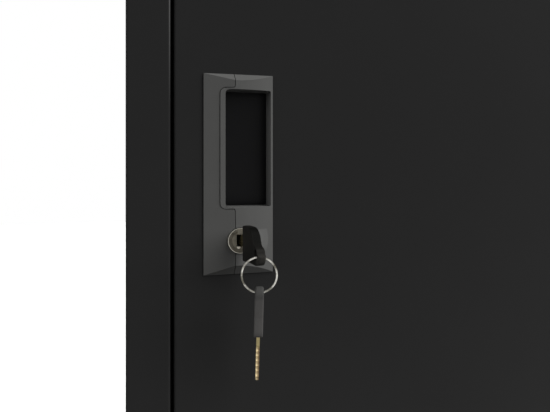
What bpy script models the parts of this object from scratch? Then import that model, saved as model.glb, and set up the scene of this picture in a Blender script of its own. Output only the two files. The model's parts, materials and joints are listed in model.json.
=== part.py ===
"""Steel clothes locker: folded sheet body, inset door, recessed pull, cam lock and keys.

Metres, +Z up, the door faces -Y. The origin is on the floor under the middle of the outline.
Lengths in a function named after a piece are in that piece's own frame, which is its parent empty.
"""
import math

import bmesh
import bpy

# Sheet metal, clearances and facets
SHEET = 0.0008
BEND_RADIUS = 0.0014
SEAT_GAP = 0.0003
CUT_MARGIN = 0.002
BEND_STEPS = 3
CORNER_STEPS = 5
ROUND_STEPS = 24
SMOOTH_ANGLE = math.radians(35)
SAME_POINT = 0.000001

# Body
BODY_WIDTH = 0.380
BODY_DEPTH = 0.450
BODY_HEIGHT = 1.800
POST_WIDTH = 0.0286
STOP_WIDTH = 0.012
POST_LIP = 0.012
REAR_FLANGE = 0.015
TOP_RAIL_HEIGHT = 0.040
BOTTOM_RAIL_HEIGHT = 0.070
RAIL_LIP = 0.012
ROOF_FLANGE = 0.020
FLOOR_FLANGE = 0.015
PANEL_LIFT = 0.002

# Feet
FOOT_HEIGHT = 0.010
FOOT_RADIUS = 0.015
FOOT_CHAMFER = 0.0015
FOOT_STEM_RADIUS = 0.004
FOOT_STEM_LENGTH = 0.006
FOOT_INSET = 0.022

# Fittings inside the body
SHELF_LEVEL = 1.480
SHELF_HEIGHT = 0.018
SHELF_SETBACK = 0.012
LEDGE_WIDTH = 0.016
LEDGE_DROP = 0.020
LEDGE_LENGTH = 0.300
RAIL_DROP = 0.085
RAIL_RADIUS = 0.008
RAIL_WALL = 0.001
SOCKET_WALL = 0.003
SOCKET_DEPTH = 0.010
SOCKET_BASE = 0.003

# Door
DOOR_GAP = 0.0025
DOOR_DEPTH = 0.018
DOOR_FLANGE = 0.012
DOOR_EDGE_RADIUS = 0.0012
BUMPER_HEIGHT = 0.0025
BUMPER_RADIUS = 0.005
BUMPER_END_DISTANCE = 0.150
STIFFENER_CROWN = 0.040
STIFFENER_FOOT = 0.012
STIFFENER_DEPTH = 0.012
STIFFENER_END_DISTANCE = 0.090
STIFFENER_HINGE_DISTANCE = 0.090
VENT_COUNT = 6
VENT_LENGTH = 0.110
VENT_WIDTH = 0.005
VENT_PITCH = 0.014
VENT_END_DISTANCE = 0.070

# Hinge pins and bushes
HINGE_INSET_X = 0.008
HINGE_INSET_Y = 0.006
PIN_RADIUS = 0.0025
PIN_HEAD_RADIUS = 0.0045
PIN_HEAD_HEIGHT = 0.0025
PIN_REACH = 0.011
BUSH_WALL = 0.0012
BUSH_FLANGE = 0.0016
BUSH_LENGTH = 0.009

# Recessed pull
PULL_HEIGHT = 0.9297
PULL_INSET = 0.0193
PLATE_WIDTH = 0.0481
PLATE_HEIGHT = 0.1360
PLATE_EDGE = 0.0012
BOTTOM_EDGE = 0.0010
RIDGE_HEIGHT = 0.0060
RIDGE_INSET = 0.0208
TOP_HIP = 0.0046
BOTTOM_HIP = 0.0066
CROWN_STEPS = 6
RECESS_LEFT_BORDER = 0.0143
RECESS_RIGHT_BORDER = 0.0016
RECESS_TOP_BORDER = 0.0106
RECESS_TO_LOCK = 0.0223
RECESS_LEFT_CORNER = 0.0030
RECESS_RIGHT_CORNER = 0.0010
RECESS_DEPTH = 0.0110
RECESS_WALL = 0.0010
SEAM_GAP = 0.0004
SEAM_MARGIN = 0.0012
SEAM_CORNER = 0.0040
SEAM_FILLET = 0.0015
LIP_WIDTH = 0.0037
LIP_HEIGHT = 0.0042
RETAINER_THICKNESS = 0.0012
RETAINER_INSET = 0.0020
SCREW_RADIUS = 0.0012
SCREW_HEAD_RADIUS = 0.0026
SCREW_HEAD_HEIGHT = 0.0016
SCREW_GRIP = 0.0012
BEZEL_SCREW_DISTANCE = 0.022

# Cam lock
LOCK_INSET = 0.0240
LOCK_RISE = 0.0234
LOCK_FACE = 0.0075
LOCK_HEAD_THICKNESS = 0.0036
LOCK_HEAD_OVERHANG = 0.0005
LOCK_HEAD_CHAMFER = 0.0008
PLUG_WALL = 0.00175
BARREL_WALL = 0.0019
PLUG_SETBACK = 0.0004
BOSS_TOP_MARGIN = 0.0065
BOSS_RUN = 0.0034
BOSS_HEIGHT = 0.0044
BOSS_BASE = 0.0028
NUT_WALL = 0.0035
NUT_THICKNESS = 0.0040
NUT_SIDES = 6
CAM_CLEARANCE = 0.0006
CAM_THICKNESS = 0.0020
CAM_WIDTH = 0.014
CAM_ENGAGEMENT = 0.008
TAIL_SIDE = 0.0064
CAM_SCREW_RADIUS = 0.0015
CAM_SCREW_HEAD_RADIUS = 0.0048
CAM_SCREW_HEAD_HEIGHT = 0.0024
CAM_SCREW_LENGTH = 0.0045

# Keys and ring
BLADE_WIDTH = 0.0075
BLADE_THICKNESS = 0.0021
BLADE_TANG = 0.007
BLADE_TIP = 0.003
KEY_SHANK = 0.008
KEY_INSERT = 0.0212
KEY_TILT = math.radians(7)
RING_TURN = math.radians(-21)
BITTING_COUNT = 6
BITTING_DEPTH = 0.0007
BOW_LENGTH = 0.0295
BOW_WIDTH = 0.0225
BOW_THICKNESS = 0.0055
BOW_HEAD_LENGTH = 0.0195
BOW_OUTER_CORNER = 0.0090
BOW_INNER_CORNER = 0.0030
EYE_RADIUS = 0.0062
EYE_HOLE_RADIUS = 0.0026
EYE_DROP = 0.0052
EYE_SLOT = 0.0034
EYE_TOP_RADIUS = 0.0042
RING_RADIUS = 0.0109
WIRE_RADIUS = 0.00075
WIRE_STEPS = 8
RING_STEPS = 40

# Finishes: linear colours, roughness and metallic values
PAINT_COLOUR = (0.0185, 0.0185, 0.0185)
PULL_COLOUR = (0.075, 0.075, 0.077)
KEY_COLOUR = (0.010, 0.010, 0.010)
FITTING_COLOUR = (0.020, 0.020, 0.020)
RUBBER_COLOUR = (0.030, 0.030, 0.030)
STEEL_COLOUR = (0.55, 0.55, 0.54)
ZINC_COLOUR = (0.45, 0.45, 0.44)
NICKEL_COLOUR = (0.50, 0.48, 0.44)
BRASS_COLOUR = (0.42, 0.30, 0.12)
BRIGHT = 0.25
SATIN = 0.40
LOW_SHEEN = 0.50
MATT = 0.80
PLAIN = 0.0
METAL = 1.0

# Worked out from the sizes above
FRONT = -BODY_DEPTH / 2
BACK = BODY_DEPTH / 2
SIDE = BODY_WIDTH / 2
POST_DEPTH = DOOR_DEPTH + BUMPER_HEIGHT + 2 * SEAT_GAP + SHEET
RAIL_DEPTH = POST_DEPTH - SHEET - SEAT_GAP
ROOF_UNDERSIDE = BODY_HEIGHT - SHEET
BACK_PANEL_REAR = BACK - SHEET - SEAT_GAP
BACK_PANEL_FRONT = BACK_PANEL_REAR - SHEET
INSIDE_HALF_WIDTH = SIDE - SHEET - SEAT_GAP
BEND_INSIDE = BEND_RADIUS - SHEET / 2
FLOOR_LEVEL = FOOT_HEIGHT + BOTTOM_RAIL_HEIGHT
FOOT_FLANGE_LEVEL = FOOT_HEIGHT + PANEL_LIFT

DOOR_WIDTH = BODY_WIDTH - 2 * (POST_WIDTH + DOOR_GAP)
DOOR_BOTTOM = FLOOR_LEVEL + DOOR_GAP
DOOR_TOP = BODY_HEIGHT - TOP_RAIL_HEIGHT - DOOR_GAP
HINGE_X = SIDE - POST_WIDTH - DOOR_GAP - HINGE_INSET_X
DOOR_FRONT = -HINGE_INSET_Y
DOOR_RIGHT = HINGE_INSET_X
DOOR_LEFT = DOOR_RIGHT - DOOR_WIDTH
BUSH_RADIUS = PIN_RADIUS + SEAT_GAP + BUSH_WALL

PLATE_TOP = PLATE_HEIGHT / 2
PLATE_BOTTOM = -PLATE_HEIGHT / 2
PLATE_LEFT = -PLATE_WIDTH / 2
PLATE_RIGHT = PLATE_WIDTH / 2
RIDGE_X = PLATE_LEFT + RIDGE_INSET
LOCK_X = PLATE_LEFT + LOCK_INSET
LOCK_Z = PLATE_BOTTOM + LOCK_RISE
RECESS_LEFT = PLATE_LEFT + RECESS_LEFT_BORDER
RECESS_RIGHT = PLATE_RIGHT - RECESS_RIGHT_BORDER
RECESS_TOP = PLATE_TOP - RECESS_TOP_BORDER
RECESS_BOTTOM = LOCK_Z + RECESS_TO_LOCK
LIP_X = RECESS_LEFT - LIP_WIDTH
RETAINER_FRONT = SHEET + SEAT_GAP
RETAINER_BACK = RETAINER_FRONT + RETAINER_THICKNESS
BEZEL_SCREW_X = (PLATE_LEFT + LIP_X) / 2
PULL_SCREW_X = (RIDGE_X + PLATE_RIGHT) / 2
UPPER_PULL_SCREW_Z = (PLATE_TOP + RECESS_TOP + RECESS_WALL) / 2

PLUG_RADIUS = BLADE_WIDTH / 2 + SEAT_GAP + PLUG_WALL
LOCK_BODY_RADIUS = PLUG_RADIUS + SEAT_GAP + BARREL_WALL
LOCK_HEAD_RADIUS = LOCK_BODY_RADIUS + LOCK_HEAD_OVERHANG
LOWER_PULL_SCREW_Z = LOCK_Z + (LOCK_HEAD_RADIUS + RECESS_TO_LOCK - RECESS_WALL) / 2
LOCK_SEAT = LOCK_FACE - LOCK_HEAD_THICKNESS
CAM_FRONT = POST_DEPTH + CAM_CLEARANCE
CAM_BACK = CAM_FRONT + CAM_THICKNESS
BARREL_REAR = CAM_FRONT - SEAT_GAP
LOCK_FROM_POST = DOOR_GAP + PULL_INSET + LOCK_INSET
CAM_REACH = LOCK_FROM_POST - STOP_WIDTH + CAM_ENGAGEMENT

BOW_INNER_END = BOW_LENGTH - EYE_RADIUS
KEY_STANDOFF = LOCK_FACE + KEY_SHANK + BOW_INNER_END
KEY_MIDDLE = KEY_INSERT / 2 - LOCK_FACE
KEY_REACH = KEY_STANDOFF + KEY_MIDDLE
KEY_SIDE_PLAY = KEY_INSERT / 2 * math.sin(KEY_TILT)
BLADE_END = BOW_INNER_END + KEY_SHANK + KEY_INSERT
EYE_ROOM = EYE_HOLE_RADIUS - WIRE_RADIUS - SEAT_GAP
HALF_BOW = BOW_THICKNESS / 2
SPARE_SAG = RING_RADIUS - math.sqrt(RING_RADIUS ** 2 - HALF_BOW ** 2)
SPARE_SLACK = EYE_ROOM - SPARE_SAG
TURNED_SHIFT = HALF_BOW * math.tan(RING_TURN)
TURNED_SAG = RING_RADIUS - math.sqrt(RING_RADIUS ** 2 - HALF_BOW ** 2 - TURNED_SHIFT ** 2)
RING_SLACK = math.sqrt(EYE_ROOM ** 2 - TURNED_SHIFT ** 2) - TURNED_SAG


def clear_scene():
    """Remove the objects that the open file starts with."""
    for old in list(bpy.data.objects):
        bpy.data.objects.remove(old, do_unlink=True)


def make_material(name, colour, roughness, metallic):
    """A Principled material from a linear colour."""
    material = bpy.data.materials.new(name)
    material.use_nodes = True
    shader = material.node_tree.nodes["Principled BSDF"]
    shader.inputs["Base Color"].default_value = (*colour, 1.0)
    shader.inputs["Roughness"].default_value = roughness
    shader.inputs["Metallic"].default_value = metallic
    return material


def make_frame(name, location, parent=None, rotation=(0.0, 0.0, 0.0)):
    """An empty that carries pieces, placed in its parent's frame."""
    frame = bpy.data.objects.new(name, None)
    frame.location = location
    frame.rotation_euler = rotation
    frame.parent = parent
    bpy.context.scene.collection.objects.link(frame)
    return frame


def make_object(name, mesh_builder, material, parent):
    """Turn a filled bmesh into a named object with outward normals and smooth round faces."""
    bmesh.ops.recalc_face_normals(mesh_builder, faces=mesh_builder.faces)
    mesh = bpy.data.meshes.new(name)
    mesh_builder.to_mesh(mesh)
    mesh_builder.free()
    mesh.polygons.foreach_set("use_smooth", [True] * len(mesh.polygons))
    mesh.set_sharp_from_angle(angle=SMOOTH_ANGLE)
    piece = bpy.data.objects.new(name, mesh)
    if material is not None:
        mesh.materials.append(material)
    piece.parent = parent
    bpy.context.scene.collection.objects.link(piece)
    return piece


def combine(target, tool, operation):
    """Boolean a hidden tool shape into the target and let the tool follow it."""
    tool.parent = target
    tool.hide_render = True
    tool.display_type = "WIRE"
    modifier = target.modifiers.new(tool.name, "BOOLEAN")
    modifier.operation = operation
    modifier.solver = "EXACT"
    modifier.object = tool


def spot(axis, level, first, second):
    """A point from its level along an axis and its two other coordinates."""
    if axis == "X":
        return (level, first, second)
    if axis == "Y":
        return (first, level, second)
    return (first, second, level)


def add_prism(builder, outline, axis, low, high):
    """Extrude a flat outline along X, Y or Z. The outline holds the two other coordinates."""
    rings = []
    for level in (low, high):
        ring = [builder.verts.new(spot(axis, level, first, second)) for first, second in outline]
        rings.append(ring)
    builder.faces.new(rings[0])
    builder.faces.new(rings[1])
    for index in range(len(outline)):
        follow = (index + 1) % len(outline)
        builder.faces.new((rings[0][index], rings[0][follow], rings[1][follow], rings[1][index]))


def prism(name, outline, axis, low, high, material=None, parent=None):
    """A closed prism object."""
    return prisms(name, [outline], axis, low, high, material, parent)


def prisms(name, outlines, axis, low, high, material=None, parent=None):
    """Several separate prisms in one object, for cutting many holes at once."""
    builder = bmesh.new()
    for outline in outlines:
        add_prism(builder, outline, axis, low, high)
    return make_object(name, builder, material, parent)


def box(name, low, high, material=None, parent=None):
    """A plain block between two corners."""
    outline = [(low[0], low[1]), (high[0], low[1]), (high[0], high[1]), (low[0], high[1])]
    return prism(name, outline, "Z", low[2], high[2], material, parent)


def lathe(name, profile, axis, centre, closed, material=None, parent=None, steps=ROUND_STEPS):
    """Turn a (radius, level) profile about an axis through centre.

    A closed profile makes a ring. An open one starts and ends on the axis.
    """
    builder = bmesh.new()
    loops = []
    for radius, level in profile:
        count = steps if radius > 0 else 1
        loop = []
        for step in range(count):
            angle = 2 * math.pi * step / steps
            place = spot(axis, level, radius * math.cos(angle), radius * math.sin(angle))
            corner = [base + offset for base, offset in zip(centre, place)]
            loop.append(builder.verts.new(corner))
        loops.append(loop)
    pairs = list(zip(loops, loops[1:]))
    if closed:
        pairs.append((loops[-1], loops[0]))
    for near, far in pairs:
        for step in range(steps):
            follow = (step + 1) % steps
            if len(near) == 1:
                builder.faces.new((near[0], far[follow], far[step]))
            elif len(far) == 1:
                builder.faces.new((near[step], near[follow], far[0]))
            else:
                builder.faces.new((near[step], near[follow], far[follow], far[step]))
    return make_object(name, builder, material, parent)


def disc_profile(radius, low, high):
    """Profile of a plain solid cylinder."""
    return [(0.0, low), (radius, low), (radius, high), (0.0, high)]


def arc_points(centre, radius, start, sweep, steps):
    """Points on an arc, both ends included, with angles in degrees."""
    points = []
    for step in range(steps + 1):
        angle = math.radians(start + sweep * step / steps)
        points.append((centre[0] + radius * math.cos(angle), centre[1] + radius * math.sin(angle)))
    return points


def circle_outline(centre, radius, steps=ROUND_STEPS):
    """Round or regular outline."""
    return arc_points(centre, radius, 0, 360 - 360 / steps, steps - 1)


def rounded_outline(left, right, bottom, top, radii):
    """Rounded rectangle. The radii are for bottom right, top right, top left and bottom left."""
    corners = ((right, bottom, -1, 1), (right, top, -1, -1), (left, top, 1, -1), (left, bottom, 1, 1))
    outline = []
    for index, (across, upward, inward_x, inward_z) in enumerate(corners):
        radius = radii[index]
        centre = (across + inward_x * radius, upward + inward_z * radius)
        outline += arc_points(centre, radius, -90 + 90 * index, 90, CORNER_STEPS)
    pairs = zip(outline[-1:] + outline, outline)
    return [point for before, point in pairs if math.dist(before, point) > SAME_POINT]


def folded_outline(path):
    """Cross-section of a folded sheet whose middle follows a path with right-angle bends."""
    middle = []
    for index, point in enumerate(path):
        before = path[max(index - 1, 0)]
        after = path[min(index + 1, len(path) - 1)]
        inward = unit(before, point) if index else unit(point, after)
        outward = unit(point, after) if index < len(path) - 1 else inward
        if index in (0, len(path) - 1):
            middle.append((point, (-inward[1], inward[0])))
            continue
        turn = 1 if inward[0] * outward[1] - inward[1] * outward[0] > 0 else -1
        centre = [p + BEND_RADIUS * (o - i) for p, i, o in zip(point, inward, outward)]
        start = math.degrees(math.atan2(-turn * inward[0], turn * inward[1]))
        for ray in arc_points((0.0, 0.0), 1.0, start, turn * 90, BEND_STEPS):
            place = (centre[0] + BEND_RADIUS * ray[0], centre[1] + BEND_RADIUS * ray[1])
            middle.append((place, (-turn * ray[0], -turn * ray[1])))
    half = SHEET / 2
    left = [(p[0] + half * n[0], p[1] + half * n[1]) for p, n in middle]
    right = [(p[0] - half * n[0], p[1] - half * n[1]) for p, n in reversed(middle)]
    return left + right


def unit(start, end):
    """Direction from one flat point to another."""
    across = end[0] - start[0]
    along = end[1] - start[1]
    length = math.hypot(across, along)
    return (across / length, along / length)


def pan(name, low, high, material, parent):
    """A tray folded down on its four sides, open below."""
    piece = box(name, low, high, material, parent)
    inner_low = (low[0] + SHEET, low[1] + SHEET, low[2] - CUT_MARGIN)
    inner_high = (high[0] - SHEET, high[1] - SHEET, high[2] - SHEET)
    combine(piece, box(name + "_hollow", inner_low, inner_high), "DIFFERENCE")
    return piece


def side_panel(name, sign, lip, paint, frame):
    """A side wall folded into a rear flange, a front post and a stop or lip behind it."""
    half = SHEET / 2
    outer = SIDE - half
    inner = SIDE - POST_WIDTH + half
    rear = BACK - half
    front = FRONT + half
    post_rear = FRONT + POST_DEPTH - half
    path = [
        (sign * (SIDE - REAR_FLANGE), rear),
        (sign * outer, rear),
        (sign * outer, front),
        (sign * inner, front),
        (sign * inner, post_rear),
        (sign * (inner + lip), post_rear),
    ]
    top = ROOF_UNDERSIDE - SEAT_GAP
    panel = prism(name, folded_outline(path), "Z", FOOT_HEIGHT, top, paint, frame)
    across = sorted((sign * outer, sign * (SIDE - 2 * FOOT_INSET)))
    flange_low = (across[0], FRONT + POST_DEPTH + SEAT_GAP, FOOT_FLANGE_LEVEL)
    flange_high = (across[1], BACK_PANEL_FRONT - SEAT_GAP, FOOT_FLANGE_LEVEL + SHEET)
    combine(panel, box(name + "_foot_flange", flange_low, flange_high), "UNION")
    for end, level in (("front", foot_front_y()), ("rear", foot_rear_y())):
        profile = disc_profile(FOOT_STEM_RADIUS + SEAT_GAP, FOOT_HEIGHT, FOOT_HEIGHT + FOOT_STEM_LENGTH)
        hole = lathe(name + "_" + end + "_hole", profile, "Z", (sign * foot_x(), level, 0.0), False)
        combine(panel, hole, "DIFFERENCE")


def foot_x():
    """Distance of a foot from the middle of the body."""
    return SIDE - FOOT_INSET


def foot_front_y():
    """Front feet stand behind the posts."""
    return FRONT + POST_DEPTH + FOOT_INSET


def foot_rear_y():
    """Rear feet stand in front of the back panel."""
    return BACK_PANEL_FRONT - FOOT_INSET


def foot(name, sign, depth, plastic, frame):
    """A moulded glide whose stem plugs into the foot flange."""
    shoulder = FOOT_FLANGE_LEVEL - SEAT_GAP
    stem_top = FOOT_HEIGHT + FOOT_STEM_LENGTH
    profile = [
        (0.0, 0.0),
        (FOOT_RADIUS - FOOT_CHAMFER, 0.0),
        (FOOT_RADIUS, FOOT_CHAMFER),
        (FOOT_RADIUS, shoulder),
        (FOOT_STEM_RADIUS, shoulder),
        (FOOT_STEM_RADIUS, stem_top),
        (0.0, stem_top),
    ]
    lathe(name, profile, "Z", (sign * foot_x(), depth, 0.0), False, plastic, frame)


def back_panel(paint, frame):
    """Flat rear sheet that lies against the side panels' rear flanges."""
    reach = INSIDE_HALF_WIDTH - BEND_INSIDE
    low = (-reach, BACK_PANEL_FRONT, FOOT_HEIGHT)
    high = (reach, BACK_PANEL_REAR, ROOF_UNDERSIDE - SEAT_GAP)
    box("back_panel", low, high, paint, frame)


def top_panel(paint, frame):
    """Roof sheet with three flanges that drop inside the body."""
    roof = box("top_panel", (-SIDE, FRONT, ROOF_UNDERSIDE), (SIDE, BACK, BODY_HEIGHT), paint, frame)
    front = FRONT + POST_DEPTH + SEAT_GAP
    rear = BACK_PANEL_FRONT - SEAT_GAP
    bottom = ROOF_UNDERSIDE - ROOF_FLANGE
    middle = BODY_HEIGHT - SHEET / 2
    inner = INSIDE_HALF_WIDTH - SHEET
    walls = {
        "left": ((-INSIDE_HALF_WIDTH, front, bottom), (-inner, rear, middle)),
        "right": ((inner, front, bottom), (INSIDE_HALF_WIDTH, rear, middle)),
        "rear": ((-inner - SHEET / 2, rear - SHEET, bottom), (inner + SHEET / 2, rear, middle)),
    }
    for side, (low, high) in walls.items():
        combine(roof, box("top_panel_" + side + "_flange", low, high), "UNION")


def rails(paint, frame):
    """Front channels between the posts, above and below the door. Each holds a hinge pin."""
    half = SHEET / 2
    front = FRONT + half
    rear = FRONT + RAIL_DEPTH - half
    reach = SIDE - POST_WIDTH - SEAT_GAP
    top_fold = BODY_HEIGHT - TOP_RAIL_HEIGHT + half
    low_fold = FLOOR_LEVEL - half
    upper = [(front, ROOF_UNDERSIDE - SEAT_GAP), (front, top_fold), (rear, top_fold)]
    upper.append((rear, top_fold + RAIL_LIP))
    lower = [(front, FOOT_HEIGHT), (front, low_fold), (rear, low_fold)]
    lower.append((rear, low_fold - RAIL_LIP))
    for name, path, level in (("top_rail", upper, top_fold), ("bottom_rail", lower, low_fold)):
        rail = prism(name, folded_outline(path), "X", -reach, reach, paint, frame)
        profile = disc_profile(PIN_RADIUS + SEAT_GAP, level - CUT_MARGIN, level + CUT_MARGIN)
        hole = lathe(name + "_pin_hole", profile, "Z", (HINGE_X, FRONT + HINGE_INSET_Y, 0.0), False)
        combine(rail, hole, "DIFFERENCE")


def floor_and_shelf(paint, zinc, frame):
    """Bottom tray, hat shelf and the two angles that carry the shelf."""
    front = FRONT + POST_DEPTH + SEAT_GAP
    rear = BACK_PANEL_FRONT - SEAT_GAP
    width = INSIDE_HALF_WIDTH
    tray_low = (-width, front, FLOOR_LEVEL - FLOOR_FLANGE)
    pan("bottom_panel", tray_low, (width, rear, FLOOR_LEVEL), paint, frame)
    shelf_front = front + SHELF_SETBACK
    shelf_bottom = SHELF_LEVEL - SHELF_HEIGHT
    pan("hat_shelf", (-width, shelf_front, shelf_bottom), (width, rear, SHELF_LEVEL), paint, frame)
    half = SHEET / 2
    top = shelf_bottom - SEAT_GAP - half
    middle = (shelf_front + rear) / 2
    for name, sign in (("left_shelf_ledge", -1), ("right_shelf_ledge", 1)):
        wall = sign * (width - half)
        path = [(wall, top - LEDGE_DROP), (wall, top), (wall - sign * LEDGE_WIDTH, top)]
        low = middle - LEDGE_LENGTH / 2
        prism(name, folded_outline(path), "Y", low, low + LEDGE_LENGTH, zinc, frame)


def coat_rail(steel, plastic, frame):
    """Tube across the body in two cups fixed to the side walls."""
    level = SHELF_LEVEL - RAIL_DROP
    socket_radius = RAIL_RADIUS + SEAT_GAP + SOCKET_WALL
    wall = INSIDE_HALF_WIDTH
    floor = wall - SOCKET_BASE
    mouth = wall - SOCKET_DEPTH
    bore = RAIL_RADIUS + SEAT_GAP
    for name, sign in (("left_rail_socket", -1), ("right_rail_socket", 1)):
        profile = [
            (0.0, sign * wall),
            (socket_radius, sign * wall),
            (socket_radius, sign * mouth),
            (bore, sign * mouth),
            (bore, sign * floor),
            (0.0, sign * floor),
        ]
        lathe(name, profile, "X", (0.0, 0.0, level), False, plastic, frame)
    end = floor - SEAT_GAP
    bore = RAIL_RADIUS - RAIL_WALL
    profile = [(RAIL_RADIUS, -end), (RAIL_RADIUS, end), (bore, end), (bore, -end)]
    lathe("coat_rail", profile, "X", (0.0, 0.0, level), True, steel, frame)


def hinge_pins(steel, frame):
    """Headed pins: the heads lie inside the rails and the shanks reach into the door."""
    centre = (HINGE_X, FRONT + HINGE_INSET_Y, 0.0)
    rail_faces = (
        ("upper_hinge_pin", BODY_HEIGHT - TOP_RAIL_HEIGHT + SHEET, DOOR_TOP, 1),
        ("lower_hinge_pin", FLOOR_LEVEL - SHEET, DOOR_BOTTOM, -1),
    )
    for name, inside, door_end, upward in rail_faces:
        seat = inside + upward * SEAT_GAP
        head = seat + upward * PIN_HEAD_HEIGHT
        tip = door_end - upward * PIN_REACH
        profile = [(0.0, head), (PIN_HEAD_RADIUS, head), (PIN_HEAD_RADIUS, seat), (PIN_RADIUS, seat)]
        profile += [(PIN_RADIUS, tip), (0.0, tip)]
        lathe(name, profile, "Z", centre, False, steel, frame)


def door_bumpers(rubber, frame):
    """Rubber buttons on the door stop of the left post."""
    across = -SIDE + POST_WIDTH + STOP_WIDTH / 2
    stop_front = FRONT + POST_DEPTH - SHEET - SEAT_GAP
    levels = (
        ("upper_door_bumper", DOOR_TOP - BUMPER_END_DISTANCE),
        ("lower_door_bumper", DOOR_BOTTOM + BUMPER_END_DISTANCE),
    )
    for name, level in levels:
        profile = disc_profile(BUMPER_RADIUS, stop_front - BUMPER_HEIGHT, stop_front)
        lathe(name, profile, "Y", (across, 0.0, level), False, rubber, frame)


def door_panel(pull_origin, paint, door):
    """Door skin folded back on four sides, with vents and openings for the pull and the lock."""
    back = DOOR_FRONT + DOOR_DEPTH
    low = (DOOR_LEFT, DOOR_FRONT, DOOR_BOTTOM)
    high = (DOOR_RIGHT, back, DOOR_TOP)
    corner = DOOR_EDGE_RADIUS
    outline = [(low[0], high[1]), (high[0], high[1])]
    outline += arc_points((high[0] - corner, low[1] + corner), corner, 0, -90, BEND_STEPS)
    outline += arc_points((low[0] + corner, low[1] + corner), corner, -90, -90, BEND_STEPS)
    panel = prism("door_panel", outline, "Z", low[2], high[2], paint, door)
    inset = DOOR_FLANGE
    middle = (low[1] + high[1]) / 2
    mouth = box(
        "door_panel_mouth",
        (low[0] + inset, middle, low[2] + inset),
        (high[0] - inset, high[1] + CUT_MARGIN, high[2] - inset),
    )
    hollow = box(
        "door_panel_hollow",
        (low[0] + SHEET, low[1] + SHEET, low[2] + SHEET),
        (high[0] - SHEET, high[1] - SHEET, high[2] - SHEET),
    )
    combine(panel, mouth, "DIFFERENCE")
    combine(panel, hollow, "DIFFERENCE")
    for name, level in (("upper", DOOR_TOP - SHEET / 2), ("lower", DOOR_BOTTOM + SHEET / 2)):
        profile = disc_profile(BUSH_RADIUS + SEAT_GAP, level - CUT_MARGIN, level + CUT_MARGIN)
        hole = lathe("door_panel_" + name + "_bush_hole", profile, "Z", (0.0, 0.0, 0.0), False)
        combine(panel, hole, "DIFFERENCE")
    openings = vent_outlines() + pull_openings(pull_origin)
    cuts = prisms("door_panel_openings", openings, "Y", DOOR_FRONT - CUT_MARGIN, DOOR_FRONT + CUT_MARGIN)
    combine(panel, cuts, "DIFFERENCE")


def vent_outlines():
    """Two groups of slots, near the top and the bottom of the door."""
    left = (DOOR_LEFT + DOOR_RIGHT - VENT_LENGTH) / 2
    half = VENT_WIDTH / 2
    slots = []
    for edge, inward in ((DOOR_TOP, -1), (DOOR_BOTTOM, 1)):
        for index in range(VENT_COUNT):
            level = edge + inward * (VENT_END_DISTANCE + index * VENT_PITCH)
            slots.append(rounded_outline(left, left + VENT_LENGTH, level - half, level + half, [half] * 4))
    return slots


def pull_openings(origin):
    """Holes in the door skin for the recess cup, the lock barrel and the four screws."""
    across, _, upward = origin
    cup = [(across + x, upward + z) for x, z in recess_outline(RECESS_WALL + SEAT_GAP)]
    outlines = [cup, circle_outline((across + LOCK_X, upward + LOCK_Z), LOCK_BODY_RADIUS + SEAT_GAP)]
    for _, x, z in screw_places():
        outlines.append(circle_outline((across + x, upward + z), SCREW_RADIUS + SEAT_GAP))
    return outlines


def hinge_bushes(plastic, door):
    """Flanged nylon bushes pressed into the door's top and bottom folds."""
    bore = PIN_RADIUS + SEAT_GAP
    ends = (("upper_hinge_bush", DOOR_TOP, -1), ("lower_hinge_bush", DOOR_BOTTOM, 1))
    for name, edge, inward in ends:
        seat = edge - inward * SEAT_GAP
        outer = edge - inward * (DOOR_GAP - SEAT_GAP)
        end = edge + inward * BUSH_LENGTH
        flange = BUSH_RADIUS + BUSH_FLANGE
        profile = [(bore, outer), (flange, outer), (flange, seat)]
        profile += [(BUSH_RADIUS, seat), (BUSH_RADIUS, end), (bore, end)]
        lathe(name, profile, "Z", (0.0, 0.0, 0.0), True, plastic, door)


def door_stiffener(paint, door):
    """Hat-shaped channel against the inside of the skin."""
    half = SHEET / 2
    seat = DOOR_FRONT + SHEET + SEAT_GAP + half
    crown = seat + STIFFENER_DEPTH
    centre = DOOR_RIGHT - STIFFENER_HINGE_DISTANCE
    inner = STIFFENER_CROWN / 2
    outer = inner + STIFFENER_FOOT
    path = [
        (centre - outer, seat),
        (centre - inner, seat),
        (centre - inner, crown),
        (centre + inner, crown),
        (centre + inner, seat),
        (centre + outer, seat),
    ]
    low = DOOR_BOTTOM + STIFFENER_END_DISTANCE
    high = DOOR_TOP - STIFFENER_END_DISTANCE
    prism("door_stiffener", folded_outline(path), "Z", low, high, paint, door)


def recess_outline(grow):
    """Outline of the finger recess, grown outwards."""
    left = RECESS_LEFT - grow
    right = RECESS_RIGHT + grow
    sharp = RECESS_RIGHT_CORNER + grow
    round_side = RECESS_LEFT_CORNER + grow
    radii = [sharp, sharp, round_side, round_side]
    return rounded_outline(left, right, RECESS_BOTTOM - grow, RECESS_TOP + grow, radii)


def screw_places():
    """Names and places of the four screws that hold the two mouldings."""
    return (
        ("upper_pull_screw", PULL_SCREW_X, UPPER_PULL_SCREW_Z),
        ("lower_pull_screw", PULL_SCREW_X, LOWER_PULL_SCREW_Z),
        ("upper_bezel_screw", BEZEL_SCREW_X, PLATE_TOP - BEZEL_SCREW_DISTANCE),
        ("lower_bezel_screw", BEZEL_SCREW_X, PLATE_BOTTOM + BEZEL_SCREW_DISTANCE),
    )


def pull_block(name, left_face, plastic, pull):
    """The whole plate as one block: a left face of its own up to the ridge, and a crowned right slope."""
    outline = [(PLATE_RIGHT, -SEAT_GAP), (PLATE_LEFT, -SEAT_GAP)] + left_face
    for step in range(CROWN_STEPS + 1):
        share = step / CROWN_STEPS
        height = RIDGE_HEIGHT - (RIDGE_HEIGHT - PLATE_EDGE) * share ** 2
        outline.append((RIDGE_X + (PLATE_RIGHT - RIDGE_X) * share, -height))
    return prism(name, outline, "Z", PLATE_BOTTOM, PLATE_TOP, plastic, pull)


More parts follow.
